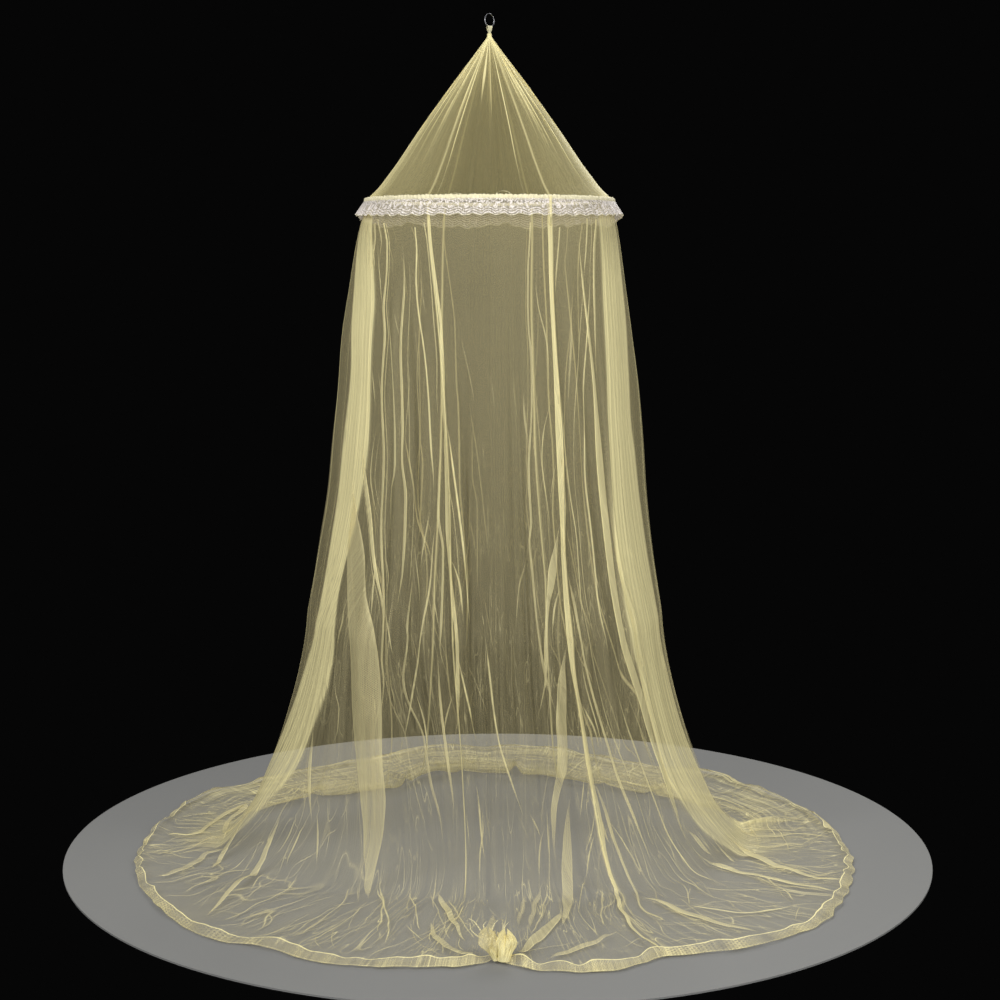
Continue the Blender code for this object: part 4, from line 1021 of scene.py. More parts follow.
# section, whether it serves wide folds, the lengths of path it serves, rows along the fold
FOLD_GRIDS = (
    (NARROW, False, 0.4, 3.0, 72),
    (NARROW, False, 0.0, 0.4, 26),
    (WIDE, True, 0.25, 3.0, 60),
    (WIDE, True, 0.0, 0.25, 26),
)
FLOOR_FOLDS = 330
PILE_FOLDS = 90


def make_folds(seed):
    """All knife folds of the skirt as (bulk, paths, angles, widths)."""
    drawn = []
    for bulk, points in FOLDS:
        paths = [path_of(height) for _, height, _ in points]
        widths = [0.001 * w * float(np.interp(w, (4, 9), (1.08, 1.28))) for _, _, w in points]
        drawn.append((bulk**1.35, paths, [angle for angle, _, _ in points], widths))
    folds = list(drawn)
    rng = np.random.default_rng(seed)
    # faint echoes beside the drawn folds
    for bulk, paths, angles, widths in drawn:
        for _ in range(rng.integers(0, 2)):
            away = rng.uniform(1.2, 6.0) * rng.choice((-1, 1))
            if abs(angles[0] + away) < 14 and paths[0] < 0.7:
                continue
            thin = [min(0.0022, w) for w in widths]
            folds.append((bulk * rng.uniform(0.25, 0.5), paths, [a + away for a in angles], thin))
    # behind, the net folds as it does in front
    for bulk, paths, angles, widths in drawn:
        if rng.uniform() < 0.8 and paths[0] < 0.75:
            away = rng.uniform(-9, 9)
            part = 0.25 + 0.45 * abs(math.sin(math.radians(angles[0])))
            across = [180 - 0.9 * a + away for a in angles]
            folds.append((bulk * part, paths, across, [min(0.6 * w, 0.005) for w in widths]))
    # slender folds that run out over the floor all round
    for _ in range(FLOOR_FOLDS):
        start = rng.uniform(0.92, 1.75)
        places = np.linspace(start, min(HEM_LINE, start + rng.uniform(0.10, 0.50)), 4)
        line = rng.uniform(-180, 180)
        if abs(line) < 24 and rng.uniform() < 0.6:
            continue
        angles = drawn_angle(places, line) + rng.uniform(-6, 6) * np.linspace(0, 1, 4) ** 1.4
        bulk = rng.uniform(0.12, 0.5)
        folds.append((bulk, list(places), list(angles), [rng.uniform(0.0012, 0.0026)] * 4))
    # the pile behind is crushed into folds that run round the canopy
    for _ in range(PILE_FOLDS):
        start, middle = rng.uniform(0.96, 1.42), rng.uniform(100, 260)
        places = start + np.linspace(0, rng.uniform(0.01, 0.08), 6)
        angles = middle + rng.choice((-1, 1)) * np.linspace(0, rng.uniform(8, 34), 6)
        bulk = rng.uniform(0.3, 0.9)
        folds.append((bulk, list(places), list(angles), list(rng.uniform(0.0012, 0.0045, 6))))
    return folds


def fold_patches(drape, folds, rows, section):
    """Flaps of doubled net, one along each fold: points, uv, cover, gather and crumple."""
    share = np.linspace(0, 1, rows)[:, None]
    place, tall, part = (np.array(column(section, k))[None, :] for k in range(3))
    fullness = drape.look.cloth_round / 360.0
    patches = []
    for k, (bulk, places, angles, widths) in enumerate(folds):
        run = places[-1] - places[0]
        path = places[0] + run * share
        sway = 0.10 * np.sin(9 * math.pi * share * run + k) + 0.06 * np.sin(23 * share * run + 2 * k)
        angle = glide(places, angles, path) + sway
        width = glide(places, widths, path)
        # a fold that starts at the hoop is full there, and any other end fades out
        opens = smooth((path - places[0]) / min(0.45 * run, 0.08)) if places[0] > 0.04 else 1.0
        closes = smooth((places[-1] - path) / min(0.45 * run, 0.10))
        fade = opens * closes
        radius = drape.read(drape.radius, path, angle)
        down = np.interp(path, drape.paths, drape.down)
        # the flap is laid square across its own line
        along = np.gradient(down[:, 0])[:, None]
        slant = np.gradient(np.radians(angle[:, 0]))[:, None] * radius
        long = np.hypot(along, slant)
        offset = place * width * (0.12 + 0.88 * fade) * (1 if k % 2 else -1)
        path = path - offset * slant / long * run * np.gradient(share[:, 0])[:, None] / along
        path = np.clip(path, 0.0, 1.995)
        angle = angle + np.degrees(offset * along / long / radius)
        rise = 0.001 * tall * (0.3 + 0.7 * fade) * np.minimum(1.0, 0.4 + width / 0.005)
        points, cover, _, crumple = drape.at(path, angle, rise)
        gather = bulk * drape.look.crease_cover * part * fade**0.6 + 0.0 * path
        cloth = drape.read(drape.cloth, path[:, :1], angle[:, :1])
        uv = together(cloth * fullness + offset, np.interp(path, drape.paths, drape.down))
        patches.append((points, uv, cover, gather, 0.3 * crumple))
    return [np.stack(parts) for parts in zip(*patches)]


class CANOPY_OT_skirt(bpy.types.Operator):
    """Four long net panels that fall from the hoop and spread out on the floor"""

    bl_idname = "canopy.skirt"
    bl_label = "Net Skirt"

    def execute(self, context):
        look = context.scene.canopy
        mat = net_material("polyester_net_skirt", look, look.net_sheer)
        drape = Drape(look)
        folds = make_folds(11)
        for name, first, last in PANELS:
            pieces = [self.panel(drape, mat, name, first, last)]
            mine = self.folds_within(drape, folds, first, last)
            for section, wide, least, most, rows in FOLD_GRIDS:
                some = [
                    fold
                    for fold in mine
                    if (max(fold[3]) > WIDE_FROM) == wide and least < fold[1][-1] - fold[1][0] <= most
                ]
                if some:
                    points, uv, cover, gather, crumple = fold_patches(drape, some, rows, section)
                    pieces.append(
                        cloth_grid("fold", points, mat, uv, cover=cover, gather=gather, crumple=crumple)
                    )
            if name == "front":
                pieces.append(self.seam_tape(look, mat))
            obj = join_pieces(pieces, "net_skirt_" + name)
            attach(obj, "root")
            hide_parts("skirt_" + name)
            wide, area = PANEL_CLOTH[name]
        return {"FINISHED"}

    def panel(self, drape, mat, name, first, last):
        """The cloth of one panel, with its hem turned back over itself."""
        look = drape.look
        columns = round(ROUND_COLUMNS * (last - first) / 360.0)
        starts = np.linspace(first, last, columns)
        angle = np.stack([drawn_angle(drape.paths, a) for a in starts], 1)
        # the hem's inner line wanders a little
        path = drape.paths[:, None] + 0.0 * angle
        uneven = 0.034 * wobble(31, 9, angle, 0.0, 84) + 0.006 * wobble(37, 9, angle, 0.0, 160)
        path += uneven * np.interp(path, (1.85, HEM_LINE, 2.0), (0.0, 1.0, 0.0))
        points, cover, gather, crumple = drape.at(path, angle)
        turned = self.hem_return(points)
        again = len(turned)
        points = np.concatenate((points, turned))
        cover, gather, crumple = (
            np.concatenate((a, np.repeat(a[-1:], again, 0))) for a in (cover, gather, crumple)
        )
        down = np.concatenate((drape.down, drape.down[-1] + 0.004 * np.arange(1, again + 1)))
        # the doubled band is denser in patches, and closest along its edge and its inner line
        patchy = 1 + 1.2 * wobble(47, 9, angle[-1:], 0.0, 120) + 0.8 * wobble(53, 9, angle[-1:], 0.0, 60)
        cover[-len(HEM_ROWS) - again :] *= look.hem_layers * np.clip(patchy, 0.55, 1.7)
        gather[-again - 1 : 1 - again] += 0.30 * look.hem_cover
        gather[-2:] += look.hem_cover
        uv = together(starts[None, :] * look.cloth_round / 360.0, down[:, None])
        label = "net_skirt_" + name
        return cloth_grid(label, points, mat, uv, cover=cover, gather=gather, crumple=crumple)

    @staticmethod
    def folds_within(drape, folds, first, last):
        """The folds whose middle lies on one panel."""
        mine = []
        for fold in folds:
            k = len(fold[1]) // 2
            line = float(drape.read(drape.cloth, np.array(fold[1][k]), np.array(fold[2][k])))
            if abs(signed(line - (first + last) / 2)) <= (last - first) / 2:
                mine.append(fold)
        return mine

    @staticmethod
    def seam_tape(look, mat):
        """The end of the right seam, which lies over the lace."""
        # distance from the axis, height over the hoop's centreline
        profile = (
            (0.3066, 0.007), (0.3100, 0.0015), (0.3138, -0.006), (0.3215, -0.018), (0.3315, -0.034),
            (0.3320, -0.042), (0.3235, -0.050), (0.3130, -0.062),
        )
        half_width, sideways = 0.0034, 0.1421
        run, half = np.linspace(0, 1, 26)[:, None], half_width * np.array([[-1.0, -0.4, 0.4, 1.0]])
        places = np.linspace(0, 1, len(profile))
        reach = glide(places, column(profile, 0), run) + 0.0007 * (1 - (half / half_width) ** 2)
        height = glide(places, column(profile, 1), run) + look.hoop_height - look.floor_drop
        points = round_points(reach, np.arcsin(sideways / reach) + half * (1.1 - 0.3 * run) / reach, height)
        uv = together(half, 0.06 * run)
        return cloth_grid("seam_end", points, mat, uv, cover=0.2, gather=0.42, crumple=0.0)

    @staticmethod
    def hem_return(points):
        """Rows that run back over the hem from its edge, a little above it."""
        rows = []
        for back, rise in HEM_RETURN:
            place = len(HEM_ROWS) * (1 - back)
            k = min(int(place), 3)
            row = points[k - 5] * (1 - place + k) + points[k - 4] * (place - k)
            row[:, 2] += rise
            rows.append(row)
        return np.stack(rows)


# ------------------------------------------------------------------ the cone
CONE_NECK = 0.0046
CONE_NECK_HEIGHT = 2.0062
CONE_BOUND = 0.018  # share of the cone that is bound tight round the tape
CONE_COLUMNS = 1080  # columns of cloth round the whole cone
CONE_SEED = 3
CONE_SEAT = 0.0006  # how far its foot stands inside the hoop's centreline and over the casing
# share of the way down, how far the net stands out from a straight line
CONE_SAG = (
    (0.0, 0.0), (0.15, -0.0005), (0.45, -0.0008), (0.60, -0.0025), (0.80, -0.0066), (0.90, -0.0064),
    (1.0, 0.0),
)
# the cone's longest folds: angle, share of the way down where each ends, bulk
CONE_FOLDS = (
    (-24, 1.2, 0.7), (-43, 0.9, 0.7), (-29, 0.75, 0.45), (-8.4, 0.6, 0.14), (2, 0.7, 0.3), (16, 1.2, 0.7),
    (42, 0.8, 0.6), (48.5, 0.95, 0.7), (36, 0.6, 0.5), (-52, 0.95, 0.6), (-60, 1.0, 0.6), (58, 1.1, 0.7),
)
CONE_FOLD_HALF = 0.0030
# its small folds: from one angle to another, how many, shortest, longest, share of a full fold's bulk
CONE_SMALL_FOLDS = (
    (36, 96, 46, 0.30, 1.0, 1.0), (-96, -36, 46, 0.25, 0.9, 1.0), (-36, 36, 22, 0.12, 0.5, 0.5),
    (96, 264, 26, 0.3, 0.9, 0.5),
)


def make_cone_folds(seed):
    """All folds of the cone as (angle, drift, end, half width, bulk)."""
    rng = np.random.default_rng(seed)
    folds = [(angle, 0.0, end, CONE_FOLD_HALF, bulk) for angle, end, bulk in CONE_FOLDS]
    for first, last, count, least, most, part in CONE_SMALL_FOLDS:
        for _ in range(count):
            end = rng.uniform(least, most)
            bulk = rng.uniform(0.30, 0.65) * part
            angle, drift = rng.uniform(first, last), rng.uniform(-4, 4)
            folds.append((angle, drift, end, rng.uniform(0.0011, 0.0022), bulk))
    return folds


class CANOPY_OT_cone(bpy.types.Operator):
    """Four net panels gathered at the hanging tape and sewn to the hoop's casing"""

    bl_idname = "canopy.cone"
    bl_label = "Net Cone"

    def execute(self, context):
        look = context.scene.canopy
        mat = net_material("polyester_net_cone", look, look.cone_sheer)
        shares = np.concatenate((np.linspace(0, 0.12, 14), np.linspace(0.12, 1.0, 50)[1:]))[:, None]
        foot = look.hoop_radius - CONE_SEAT
        fall = CONE_NECK_HEIGHT - (look.hoop_height + look.casing_radius + CONE_SEAT)
        slope = math.hypot(foot - CONE_NECK, fall)
        folds = make_cone_folds(CONE_SEED)
        for name, first, last in PANELS:
            columns = round(CONE_COLUMNS * (last - first) / 360.0)
            share, angle = np.broadcast_arrays(shares, np.linspace(first, last, columns)[None, :])
            loose = np.maximum(0.0, (share - CONE_BOUND) / (1 - CONE_BOUND))
            radius = CONE_NECK + (foot - CONE_NECK) * loose
            lift = glide(column(CONE_SAG, 0), column(CONE_SAG, 1), share)
            side = np.zeros_like(share)
            # it is closest at the neck, in uneven streaks
            gather = 0.40 * np.exp(-share / 0.03) + 0.13 * np.exp(-share / 0.25)
            gather += 0.45 * np.exp(-share / 0.13) * np.clip(wobble(43, 9, angle, 0.0, 90), -0.3, 0.5)
            for middle, drift, end, half_width, bulk in folds:
                half = half_width * (0.25 + 0.75 * smooth(shares / 0.4))
                t = np.radians(signed(angle - (middle + drift * shares))) * radius / half
                deep = np.where(np.abs(t) < 1, smooth((end - shares) / (0.5 * end)), 0.0)
                t = np.clip(t, -1, 1)
                side -= 1.1 * half * np.sin(math.pi * t) * (1 - t * t) * deep
                lift += 0.35 * half * (1 - t * t) ** 2 * deep
                gather += bulk * look.crease_cover * bump_at(t, 0.5) * deep
            for edge in (first, last):
                gather += 0.3 * bump_at(np.radians(np.abs(angle - edge)) * radius, 0.003)
            height = CONE_NECK_HEIGHT - fall * share + lift * (foot - CONE_NECK) / slope
            turned = np.radians(angle) + side / radius
            points = round_points(radius + lift * fall / slope, turned, height - look.floor_drop)
            # the two flanks look closer, and most of all their rims
            flank = np.abs(signed(angle))
            close = bump_at(flank - 84, 13)
            cover = 0.122 + 0.26 * np.exp(-share / 0.10)
            cover = cover * (1 + 1.05 * smooth((flank - 10) / 40) + 0.7 * close)
            cover = cover * np.where((angle > 30) & (angle < 100), 1.08, 1.0)
            # the right rim is made closer than the left, partly as painted light on the less lit right side
            gather += bump_at(flank - 86, 19) * (0.35 + 0.65 * share) * np.where(angle > 0, 0.60, 0.34)
            gather += 0.14 * close * (1 + 0.8 * wobble(41, 7, angle, 0.0, 110)) * (1 - 0.4 * share)
            # the cone takes half of the skirt's fullness
            uv = together((angle - first) * look.cloth_round / 360.0 * 0.5, share * slope)
            label = "net_cone_" + name
            obj = cloth_grid(label, points, mat, uv, cover=cover, gather=gather, crumple=0.05)
            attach(obj, "root")
            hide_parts("cone_" + name)
        return {"FINISHED"}


# ------------------------------------------------------------------ hoop and lace
# loose ends of net on its front: places in mm, sideways and over the casing's top
CASING_ENDS = (((15, 4), (20, 11), (32, 14), (44, 12), (52, 4)), ((-88, 3), (-80, 9), (-66, 8), (-58, 3)))
CASING_END_Y = -0.299
LACE_SCALLOPS = 54
LACE_FLARE = 29.0  # degrees from vertical
LACE_REACH = 0.0066  # from the hoop's centreline out to the frill's sewn edge


def loose_end(mat, line, reach, half):
    """A loose end of net: line holds places in mm, sideways and up, and reach two depths."""
    places, run = np.linspace(0, 1, len(line)), np.linspace(0, 1, 40)[:, None]
    across = np.array([[-1.0, 0.0, 1.0]]) * half * (1 - 0.7 * run)
    x = 0.001 * glide(places, column(line, 0), run) + across
    z = 0.001 * glide(places, column(line, 1), run) + 0.4 * across
    points = together(x, reach[0] + (reach[1] - reach[0]) * run, z)
    uv = together(across, 0.05 * run)
    return cloth_grid("loose", points, mat, uv, cover=0.3, gather=0.35, crumple=0.0)


class CANOPY_OT_hoop(bpy.types.Operator):
    """Ruched net casing round the hoop's rod"""

    bl_idname = "canopy.hoop"
    bl_label = "Cased Hoop"

    def execute(self, context):
        look = context.scene.canopy
        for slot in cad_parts["hoop"].material_slots:
            slot.material = rod_material(look)
        a = np.linspace(0, 2 * math.pi, 1100, endpoint=False)[None, :]
        b = np.radians(np.linspace(-140.0, 180.0, 20))[:, None]
        # fine and coarse gathers, none of them even
        ruche = 0.0005 * np.sin(170 * a + 2.2 * np.sin(9 * a) + 1.5 * b)
        ruche = ruche + 0.0004 * np.sin(263 * a + 1.7 * np.sin(5 * a + 1) - 2.0 * b)
        ruche = ruche + 0.0004 * np.sin(31 * a + 3 * b) + 0.0003 * np.sin(67 * a - 2 * b)
        section = look.casing_radius + 0.0010 + ruche
        # the casing stands taller than it is wide
        tall = section * np.sin(b) * np.where(b > 0, 1.42, 1.0)
        height = look.hoop_height - look.floor_drop + 0.0008 + tall
        points = round_points(look.hoop_radius + section * np.cos(b), a, height)
        uv = together(a * look.hoop_radius, look.casing_radius * b)
        mat = binding_material("net_folded_casing", look.casing, 0.0022)
        pieces = [cloth_grid("casing_ruched", points, mat, uv, closed=True, turned=True)]
        top = 1000 * (look.hoop_height - look.floor_drop) + 2.5
        for line in CASING_ENDS:
            line = [(x, z + top) for x, z in line]
            pieces.append(loose_end(mat, line, (CASING_END_Y, CASING_END_Y), 0.0011))
        obj = join_pieces(pieces, "casing_ruched")
        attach(obj, "root")
        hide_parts("hoop_casing")
        return {"FINISHED"}


class CANOPY_OT_lace(bpy.types.Operator):
    """Gathered lace frill with a scalloped edge"""

    bl_idname = "canopy.lace"
    bl_label = "Lace Frill"

    def execute(self, context):
        look = context.scene.canopy
        pitch = look.scallop_pitch
        a = np.linspace(0, 2 * math.pi, 1840, endpoint=False)[None, :]
        share = np.linspace(0, 1, 20)[:, None]
        # scallops of uneven width
        beat = LACE_SCALLOPS * a + 0.5 * np.sin(5 * a + 0.4) + 0.3 * np.sin(11 * a)
        scallop = 0.5 - 0.5 * np.cos(beat)
        # it hangs a little lower behind, and in waves
        behind = smooth((0.15 - np.cos(a)) / 0.75)
        hang = look.lace_drop * (1.0 - 0.17 * smooth((0.8 - np.cos(a)) / 0.8) + 0.535 * behind)
        sagging = 0.0038 * np.sin(9 * a + 2.2) + 0.0028 * np.sin(16 * a) + 0.0016 * np.sin(31 * a)
        hang = hang + sagging * behind
        drop = hang * share - 0.0042 * (1 - scallop) * share
        # its gathers grow towards the free edge
        full = share**0.8
        wave = 0.0018 * np.sin(beat + 0.8) + 0.0012 * np.sin(17 * a + 1.3)
        wave = wave + 0.0011 * np.sin(97 * a + 2 * np.sin(7 * a)) + 0.0007 * np.sin(151 * a + 1.0)
        reach = look.hoop_radius + LACE_REACH + drop * math.tan(math.radians(LACE_FLARE)) + full * wave
        height = look.hoop_height + 0.0005 - drop - look.floor_drop
        turned = a + 0.0022 * full * np.sin(71 * a + 1.5 * np.sin(6 * a)) / reach
        points = round_points(reach, turned, height)
        uv = together(beat / (2 * math.pi) * pitch, hang * share)
        edge = np.where(share > 0.955, 0.95, 0.0)
        # closer at the sides, where it is seen edge on, and partly painted light there, where less light
        # falls
        close = 0.70 * bump_at(np.cos(a), 0.42)
        mat = lace_material(look)
        label = "lace_frill_gathered"
        obj = cloth_grid(label, points, mat, uv, closed=True, turned=True, gather=edge, cover=close)
        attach(obj, "root")
        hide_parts("lace_frill")
        return {"FINISHED"}


# ------------------------------------------------------------------ hanger
RING_TURN = math.radians(48.0)  # from the front
RING_BUTT = math.radians(-52)  # where the wire's two ends meet, near the tape
BUTT_HALF = math.radians(1.0)
BUTT_WAIST = 0.72
TAPE_WIDTH = 0.0150
TAPE_NECK_WIDTH = 0.0058
TAPE_NARROWS = 0.0165  # how far below the wire it is at its narrowest
TAPE_THICK = 0.0009
TAPE_LENGTH = 0.062
TAPE_OVER = 0.0012  # from the wire's skin to the tape's middle
# a ply of the tape below the wire: share of the loop's half width, height under the wire
TAPE_PLY = ((0.92, -0.004), (0.66, -0.008), (0.36, -0.012), (0.30, -0.018), (0.27, -0.0268))


class CANOPY_OT_hanger(bpy.types.Operator):
    """Wire ring and the folded tape that carries the cone"""

    bl_idname = "canopy.hanger"
    bl_label = "Hanger"

    def execute(self, context):
        look = context.scene.canopy
        centre = -(look.ring_radius - look.wire / 2)
        bpy.ops.object.select_all(action="DESELECT")
        bpy.ops.mesh.primitive_torus_add(
            major_radius=look.ring_radius,
            minor_radius=look.wire / 2,
            major_segments=96,
            minor_segments=16,
            location=(0, 0, centre),
            rotation=(math.pi / 2, 0, RING_TURN),
        )
        ring = context.active_object
        bpy.ops.object.transform_apply(location=True, rotation=True, scale=True)
        # the wire's two ends butt together in a slight waist
        right, up = np.array((math.cos(RING_TURN), math.sin(RING_TURN), 0.0)), np.array((0.0, 0.0, 1.0))
        for v in ring.data.vertices:
            place = np.array(v.co)
            turn = math.atan2(place[2] - centre, place @ right)
            if abs(turn - RING_BUTT) < BUTT_HALF:
                core = centre * up + look.ring_radius * (math.cos(turn) * right + math.sin(turn) * up)
                v.co = core + (place - core) * BUTT_WAIST
        ring.data.shade_smooth()
        ring.data.materials.append(steel_material(look))
        ring.name = "ring_wire"
        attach(ring, "root")
        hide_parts("hanging_ring")
        self.tape(look)
        return {"FINISHED"}

    @staticmethod
    def tape(look):
        """Tape over the ring's lowest wire, its two plies sewn together below."""
        wire_z = -(2 * look.ring_radius - look.wire / 2)
        over = look.wire / 2 + TAPE_OVER
        loop = [(over * math.cos(t), over * math.sin(t)) for t in np.radians(np.linspace(0, 180, 13))]
        ply = [(over * k, z) for k, z in TAPE_PLY]
        profile = [(x, z) for x, z in reversed(ply)] + loop + [(-x, z) for x, z in ply]
        places, fine = np.linspace(0, 1, len(profile)), np.linspace(0, 1, 90)[:, None]
        side = glide(places, column(profile, 0), fine)
        drop = glide(places, column(profile, 1), fine)
        across = np.linspace(-1, 1, 13)[None, :]
        fade = smooth(-drop / TAPE_NARROWS)
        w = (TAPE_WIDTH * (1 - fade) + TAPE_NECK_WIDTH * fade) / 2 * across
        # it follows the ring's curve, and puckers where it is narrowed
        rise = (look.ring_radius - np.sqrt(look.ring_radius**2 - w**2)) * (1 - fade)
        s = side + 0.00035 * np.sin(across * 9) * fade
        turn_x, turn_y = math.cos(RING_TURN), math.sin(RING_TURN)
        points = together(w * turn_x - s * turn_y, w * turn_y + s * turn_x, wire_z + drop + rise)
        uv = together(TAPE_LENGTH * fine, TAPE_WIDTH / 2 * across)
        mat = binding_material("polyester_tape_woven", look.tape, 0.0014)
        tape = cloth_grid("tape_folded", points, mat, uv, turned=True)
        bpy.context.view_layer.objects.active = tape
        thick = tape.modifiers.new("thick", "SOLIDIFY")
        thick.thickness = TAPE_THICK
        thick.offset = 0.0
        bpy.ops.object.modifier_apply(modifier=thick.name)
        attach(tape, "root")
        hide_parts("tape_loop")


# ------------------------------------------------------------------ the tied bunch
KNOT_TIE_Y = -0.849
# start x, middle x, y, height of the top, half width, half depth, width at the tie, pleats, cover
KNOT_LOBES = (
    (0.0345, 0.0385, -0.842, 0.058, 0.0200, 0.0170, 0.68, 19, 0.62),
    (0.0155, 0.0002, -0.840, 0.061, 0.0205, 0.0180, 0.26, 7, 0.13),
    (0.0152, 0.0085, -0.850, 0.033, 0.0085, 0.0080, 0.60, 9, 0.50),
    (0.0200, 0.0180, -0.824, 0.048, 0.0180, 0.0140, 0.30, 7, 0.10),
)
# loose ends that curl above the tie: places in mm, sideways and over the floor
KNOT_CURLS = (
    ((-8, 55), (-18, 70), (-30, 84), (-40, 88), (-47, 80)),
    ((-6, 64), (-9, 76), (0, 85), (12, 86), (20, 80)),
    ((6, 62), (13, 78), (24, 88), (33, 84), (28, 74)),
    ((30, 62), (38, 76), (46, 82), (54, 82)),
    ((-14, 50), (-26, 56), (-36, 66), (-38, 78)),
)


class CANOPY_OT_knot(bpy.types.Operator):
    """Bunch of net tied at the middle of the front hem"""

    bl_idname = "canopy.knot"
    bl_label = "Hem Knot"

    def execute(self, context):
        look = context.scene.canopy
        mat = net_material("polyester_net_knot", look, look.net_sheer)
        floor = -look.floor_drop
        pieces = []
        s = np.linspace(0.0, 1.0, 40)[:, None]
        t = np.linspace(0, 2 * math.pi, 230, endpoint=False)[None, :]
        for k, (start, middle_x, middle_y, top, wide, deep, tie, pleats, cover) in enumerate(KNOT_LOBES):
            # narrow at the tie, widest two thirds up, rounded over at the top
            belly = tie + (1 - tie) * smooth(s / 0.60)
            belly = belly * np.sqrt(np.clip(1 - smooth((s - 0.50) / 0.52) ** 1.5, 0.02, 1))
            # pleats that twist and lie unevenly
            phase = pleats * t + 1.7 * np.sin(2 * t + pleats) + 0.9 * np.sin(3 * t)
            phase = phase + 2.8 * s * np.sin(t + k) + 2.2 * s * s * np.sin(2 * t + 1.3 * k)
            ridge = 1 - 2 * np.abs(np.sin(phase / 2)) ** 0.8
            shape = 1 + 0.09 * smooth(s * 4) * ridge + 0.13 * smooth(s * 2) * np.sin(3 * t + 5 * s + 2 * k)
            shape = shape + 0.07 * smooth(s * 2) * np.sin(5 * t - 7 * s + k)
            out = smooth(s / 0.7)
            x = start + (middle_x - start) * out + wide * belly * shape * np.cos(t)
            y = KNOT_TIE_Y + (middle_y - KNOT_TIE_Y) * out + deep * belly * shape * np.sin(t)
            z = floor + 0.007 + top * s**0.9 + 0.0035 * np.sin(phase) * s
            z = z + 0.007 * s * np.cos(2 * t + pleats)
            gather = cover * (0.55 + 0.4 * smooth(s * 3)) + 0.34 * bump_at(s, 0.36)
            gather = gather + (0.04 + 0.55 * cover) * (np.clip(ridge, 0, 1) ** 2 - 0.35)
            crossing = np.clip(wobble(5 + k, 9, np.degrees(t), 14 * s, 18) * 2, 0, 1)
            gather = gather + 0.14 * crossing * smooth(s * 4)
            points, uv = together(x, y, z), together(0.06 * t, 0.11 * s)
            closeness = {"cover": 0.25, "gather": gather, "crumple": 1.0}
            pieces.append(cloth_grid("lobe", points, mat, uv, closed=True, turned=True, **closeness))
        for curl in KNOT_CURLS:
            curl = [(x, z + 1000 * floor) for x, z in curl]
            pieces.append(loose_end(mat, curl, (-0.834, -0.818), 0.0016))
        knot = join_pieces(pieces, "hem_knot_bunch")
        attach(knot, "root")
        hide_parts("hem_knot")
        return {"FINISHED"}


# ------------------------------------------------------------------ stage
CAMERA_PLACE = (0.0256, -4.592, -0.600)
CAMERA_TILT = math.radians(82.8)
LENS, SENSOR = 66.9, 36.0
LAMP_AIM = (0.0, 0.0, -1.0)
# name, place, width, watts
LAMPS = (
    ("key", (-2.6, -3.8, 1.2), 2.6, 190),
    ("fill", (3.0, -3.4, 0.4), 2.6, 130),
    ("back", (1.2, 3.6, 1.4), 2.4, 100),
    ("top", (0.0, -0.4, 2.6), 2.0, 30),
)
FLOOR_THICK = 0.004
FLOOR_GAP = 0.0002  # the lowest cloth lies this far over it
CLOTH_LAYERS = 64  # sight passes many layers of sheer cloth


class CANOPY_OT_stage(bpy.types.Operator):
    """Pale floor, dark surround, soft lights and the camera"""

    bl_idname = "canopy.stage"
    bl_label = "Stage"

    def execute(self, context):
        look, scene = context.scene.canopy, context.scene
        bpy.ops.object.select_all(action="DESELECT")
        under = -look.floor_drop - FLOOR_GAP - FLOOR_THICK / 2
        bpy.ops.mesh.primitive_cylinder_add(
            vertices=160, radius=look.floor_radius, depth=FLOOR_THICK, location=(0.02, 0.0, under)
        )
        floor = context.active_object
        floor.name = "floor"
        bpy.ops.object.transform_apply(location=True, rotation=True, scale=True)
        mat, tree, shader = new_material("matt_paint_floor")
        wire(tree, shader, Base_Color=(*look.floor_colour, 1), Roughness=0.8)
        floor.data.materials.append(mat)
        scene.world = bpy.data.worlds.new("studio")
        scene.world.use_nodes = True
        scene.world.node_tree.nodes["Background"].inputs["Color"].default_value = (*look.surround, 1)
        for name, place, size, power in LAMPS:
            lamp = bpy.data.lights.new(name, "AREA")
            lamp.energy = power
            lamp.size = size
            obj = bpy.data.objects.new(name, lamp)
            obj.location = place
            away = np.array(place) - np.array(LAMP_AIM)
            tilt = math.atan2(math.hypot(away[0], away[1]), away[2])
            obj.rotation_euler = (tilt, 0.0, math.atan2(away[0], -away[1]))
            scene.collection.objects.link(obj)
        lens = bpy.data.cameras.new("camera")
        lens.lens, lens.sensor_width = LENS, SENSOR
        camera = bpy.data.objects.new("camera", lens)
        camera.location = CAMERA_PLACE
        camera.rotation_euler = (CAMERA_TILT, 0.0, 0.0)
        scene.collection.objects.link(camera)
        scene.camera = camera
        scene.cycles.transparent_max_bounces = CLOTH_LAYERS
        scene.view_settings.view_transform = "Standard"
        return {"FINISHED"}


# ------------------------------------------------------------------ settings
def length(name, about, value):
    """A length in metres that a user may change."""
    return bpy.props.FloatProperty(name=name, description=about, default=value, unit="LENGTH", min=0.0)


def colour(name, about, hex_colour):
    """A colour that a user may change."""
    return bpy.props.FloatVectorProperty(
        name=name, description=about, default=linear(hex_colour), subtype="COLOR", size=3, min=0.0, max=1.0
    )


def factor(name, about, value):
    """A share, or a factor, that a user may change."""
    return bpy.props.FloatProperty(name=name, description=about, default=value, min=0.0)


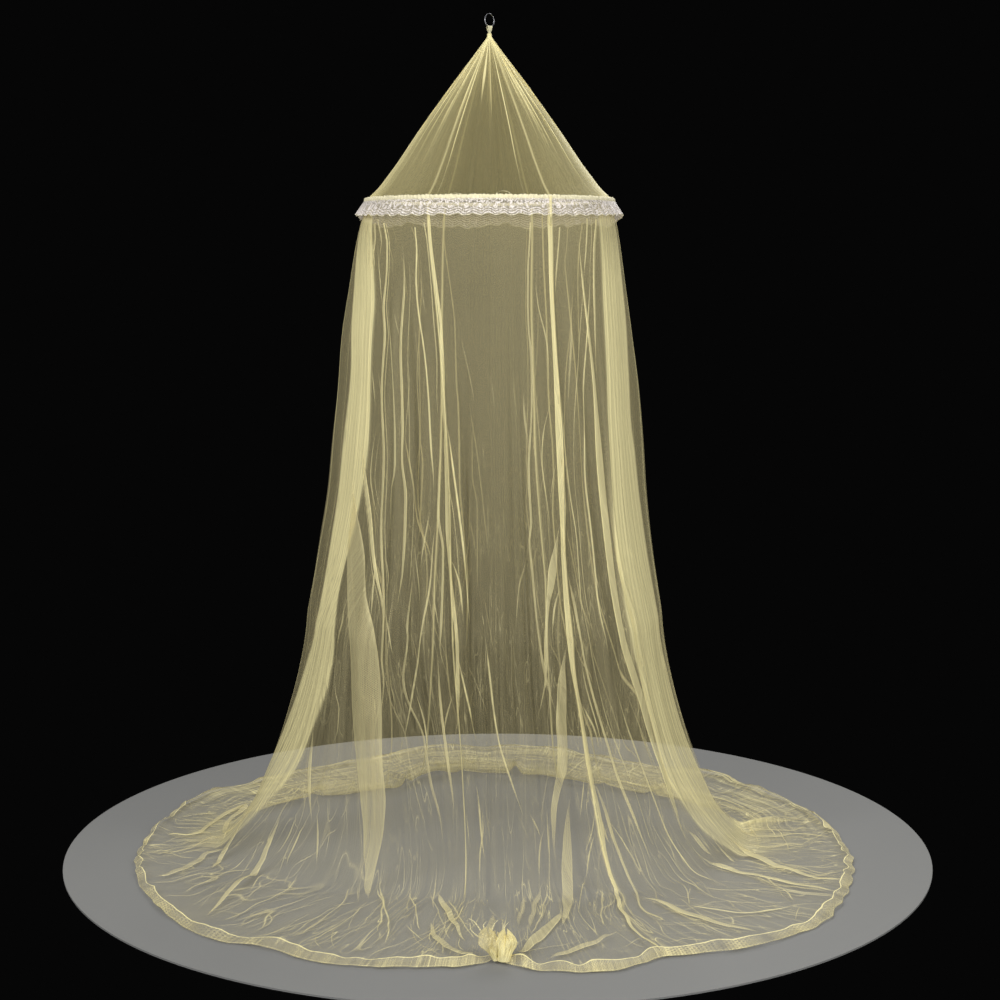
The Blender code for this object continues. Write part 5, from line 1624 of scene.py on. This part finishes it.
class CanopyLook(bpy.types.PropertyGroup):
    """Sizes, colours and closeness of the cloth"""

    floor_drop: length("Floor drop", "From the hook down to the floor", 2.0525)
    hoop_radius: length("Hoop radius", "Centreline of the hoop", 0.300)
    hoop_height: length("Hoop height", "Centreline of the hoop over the floor", 1.6044)
    casing_radius: length("Casing radius", "Radius of the casing's section", 0.005)
    net_pitch: length("Net pitch", "Distance between the holes as drawn", 0.0036)
    cloth_round: length("Cloth round", "Width of all the skirt's panels side by side", 6.6)
    skirt_length: length("Skirt length", "Flat length of a skirt panel", 2.12)
    ring_radius: length("Ring radius", "Centreline of the wire ring", 0.016)
    wire: length("Wire", "Diameter of the ring's wire", 0.003)
    lace_drop: length("Lace drop", "Depth of the lace frill", 0.0395)
    scallop_pitch: length("Scallop pitch", "Width of one scallop of the lace", 0.040)
    floor_radius: length("Floor radius", "Radius of the floor disc", 1.08)
    net_cover: bpy.props.FloatVectorProperty(
        name="Net cover",
        description="Share of light that one layer stops, from the hoop to the hem",
        size=6,
        default=(0.200, 0.170, 0.155, 0.118, 0.100, 0.120),
    )
    bunch_cover: factor("Bunch", "Added cover in a bunch", 0.66)
    crease_cover: factor("Crease", "Added cover in a fold", 0.90)
    seam_cover: factor("Seam", "Added cover along a seam", 0.75)
    hem_layers: factor("Hem layers", "Cover of the hem against the net's", 1.7)
    hem_cover: factor("Hem", "Added cover at a hem line", 0.75)
    net_sheer: colour("Sheer net", "Net where one layer shows", "E6D9A8")
    cone_sheer: colour("Sheer cone", "The cone's net where one layer shows", "E8DA9C")
    net_dense: colour("Dense net", "Net where it is folded thick", "FFF3B6")
    casing: colour("Casing", "Net folded over the hoop", "FFF5CC")
    lace_white: colour("Lace", "Bright white nylon", "F3EAE2")
    lace_edge: colour("Lace edge", "Thread of the scalloped edge", "F0E8BC")
    tape: colour("Tape", "Woven hanging tape", "FFF8CC")
    steel: colour("Steel", "Zinc-plated wire", "8E8F92")
    rod: colour("Rod", "Lacquered hoop rod", "D8D2BE")
    floor_colour: colour("Floor", "Matt floor", "848482")
    surround: colour("Surround", "Behind everything", "060606")


OPERATORS = (
    CANOPY_OT_hanger,
    CANOPY_OT_cone,
    CANOPY_OT_hoop,
    CANOPY_OT_lace,
    CANOPY_OT_skirt,
    CANOPY_OT_knot,
    CANOPY_OT_stage,
)


class CANOPY_PT_panel(bpy.types.Panel):
    """Lists the canopy's pieces"""

    bl_idname = "CANOPY_PT_panel"
    bl_label = "Net Canopy"
    bl_space_type = "VIEW_3D"
    bl_region_type = "UI"
    bl_category = "Canopy"

    def draw(self, context):
        for key in CanopyLook.__annotations__:
            self.layout.prop(context.scene.canopy, key)
        for operator in OPERATORS:
            self.layout.operator(operator.bl_idname)


CLASSES = (CanopyLook, *OPERATORS, CANOPY_PT_panel)


def register():
    """Adds the canopy's settings, operators and panel to Blender."""
    for cls in CLASSES:
        bpy.utils.register_class(cls)
    bpy.types.Scene.canopy = bpy.props.PointerProperty(type=CanopyLook)


def unregister():
    """Takes them out again."""
    del bpy.types.Scene.canopy
    for cls in reversed(CLASSES):
        bpy.utils.unregister_class(cls)


def main():
    """Dresses the canopy."""
    register()
    bpy.ops.canopy.hanger()
    bpy.ops.canopy.cone()
    bpy.ops.canopy.hoop()
    bpy.ops.canopy.lace()
    bpy.ops.canopy.skirt()
    bpy.ops.canopy.knot()
    bpy.ops.canopy.stage()


if __name__ == "__main__":
    main()
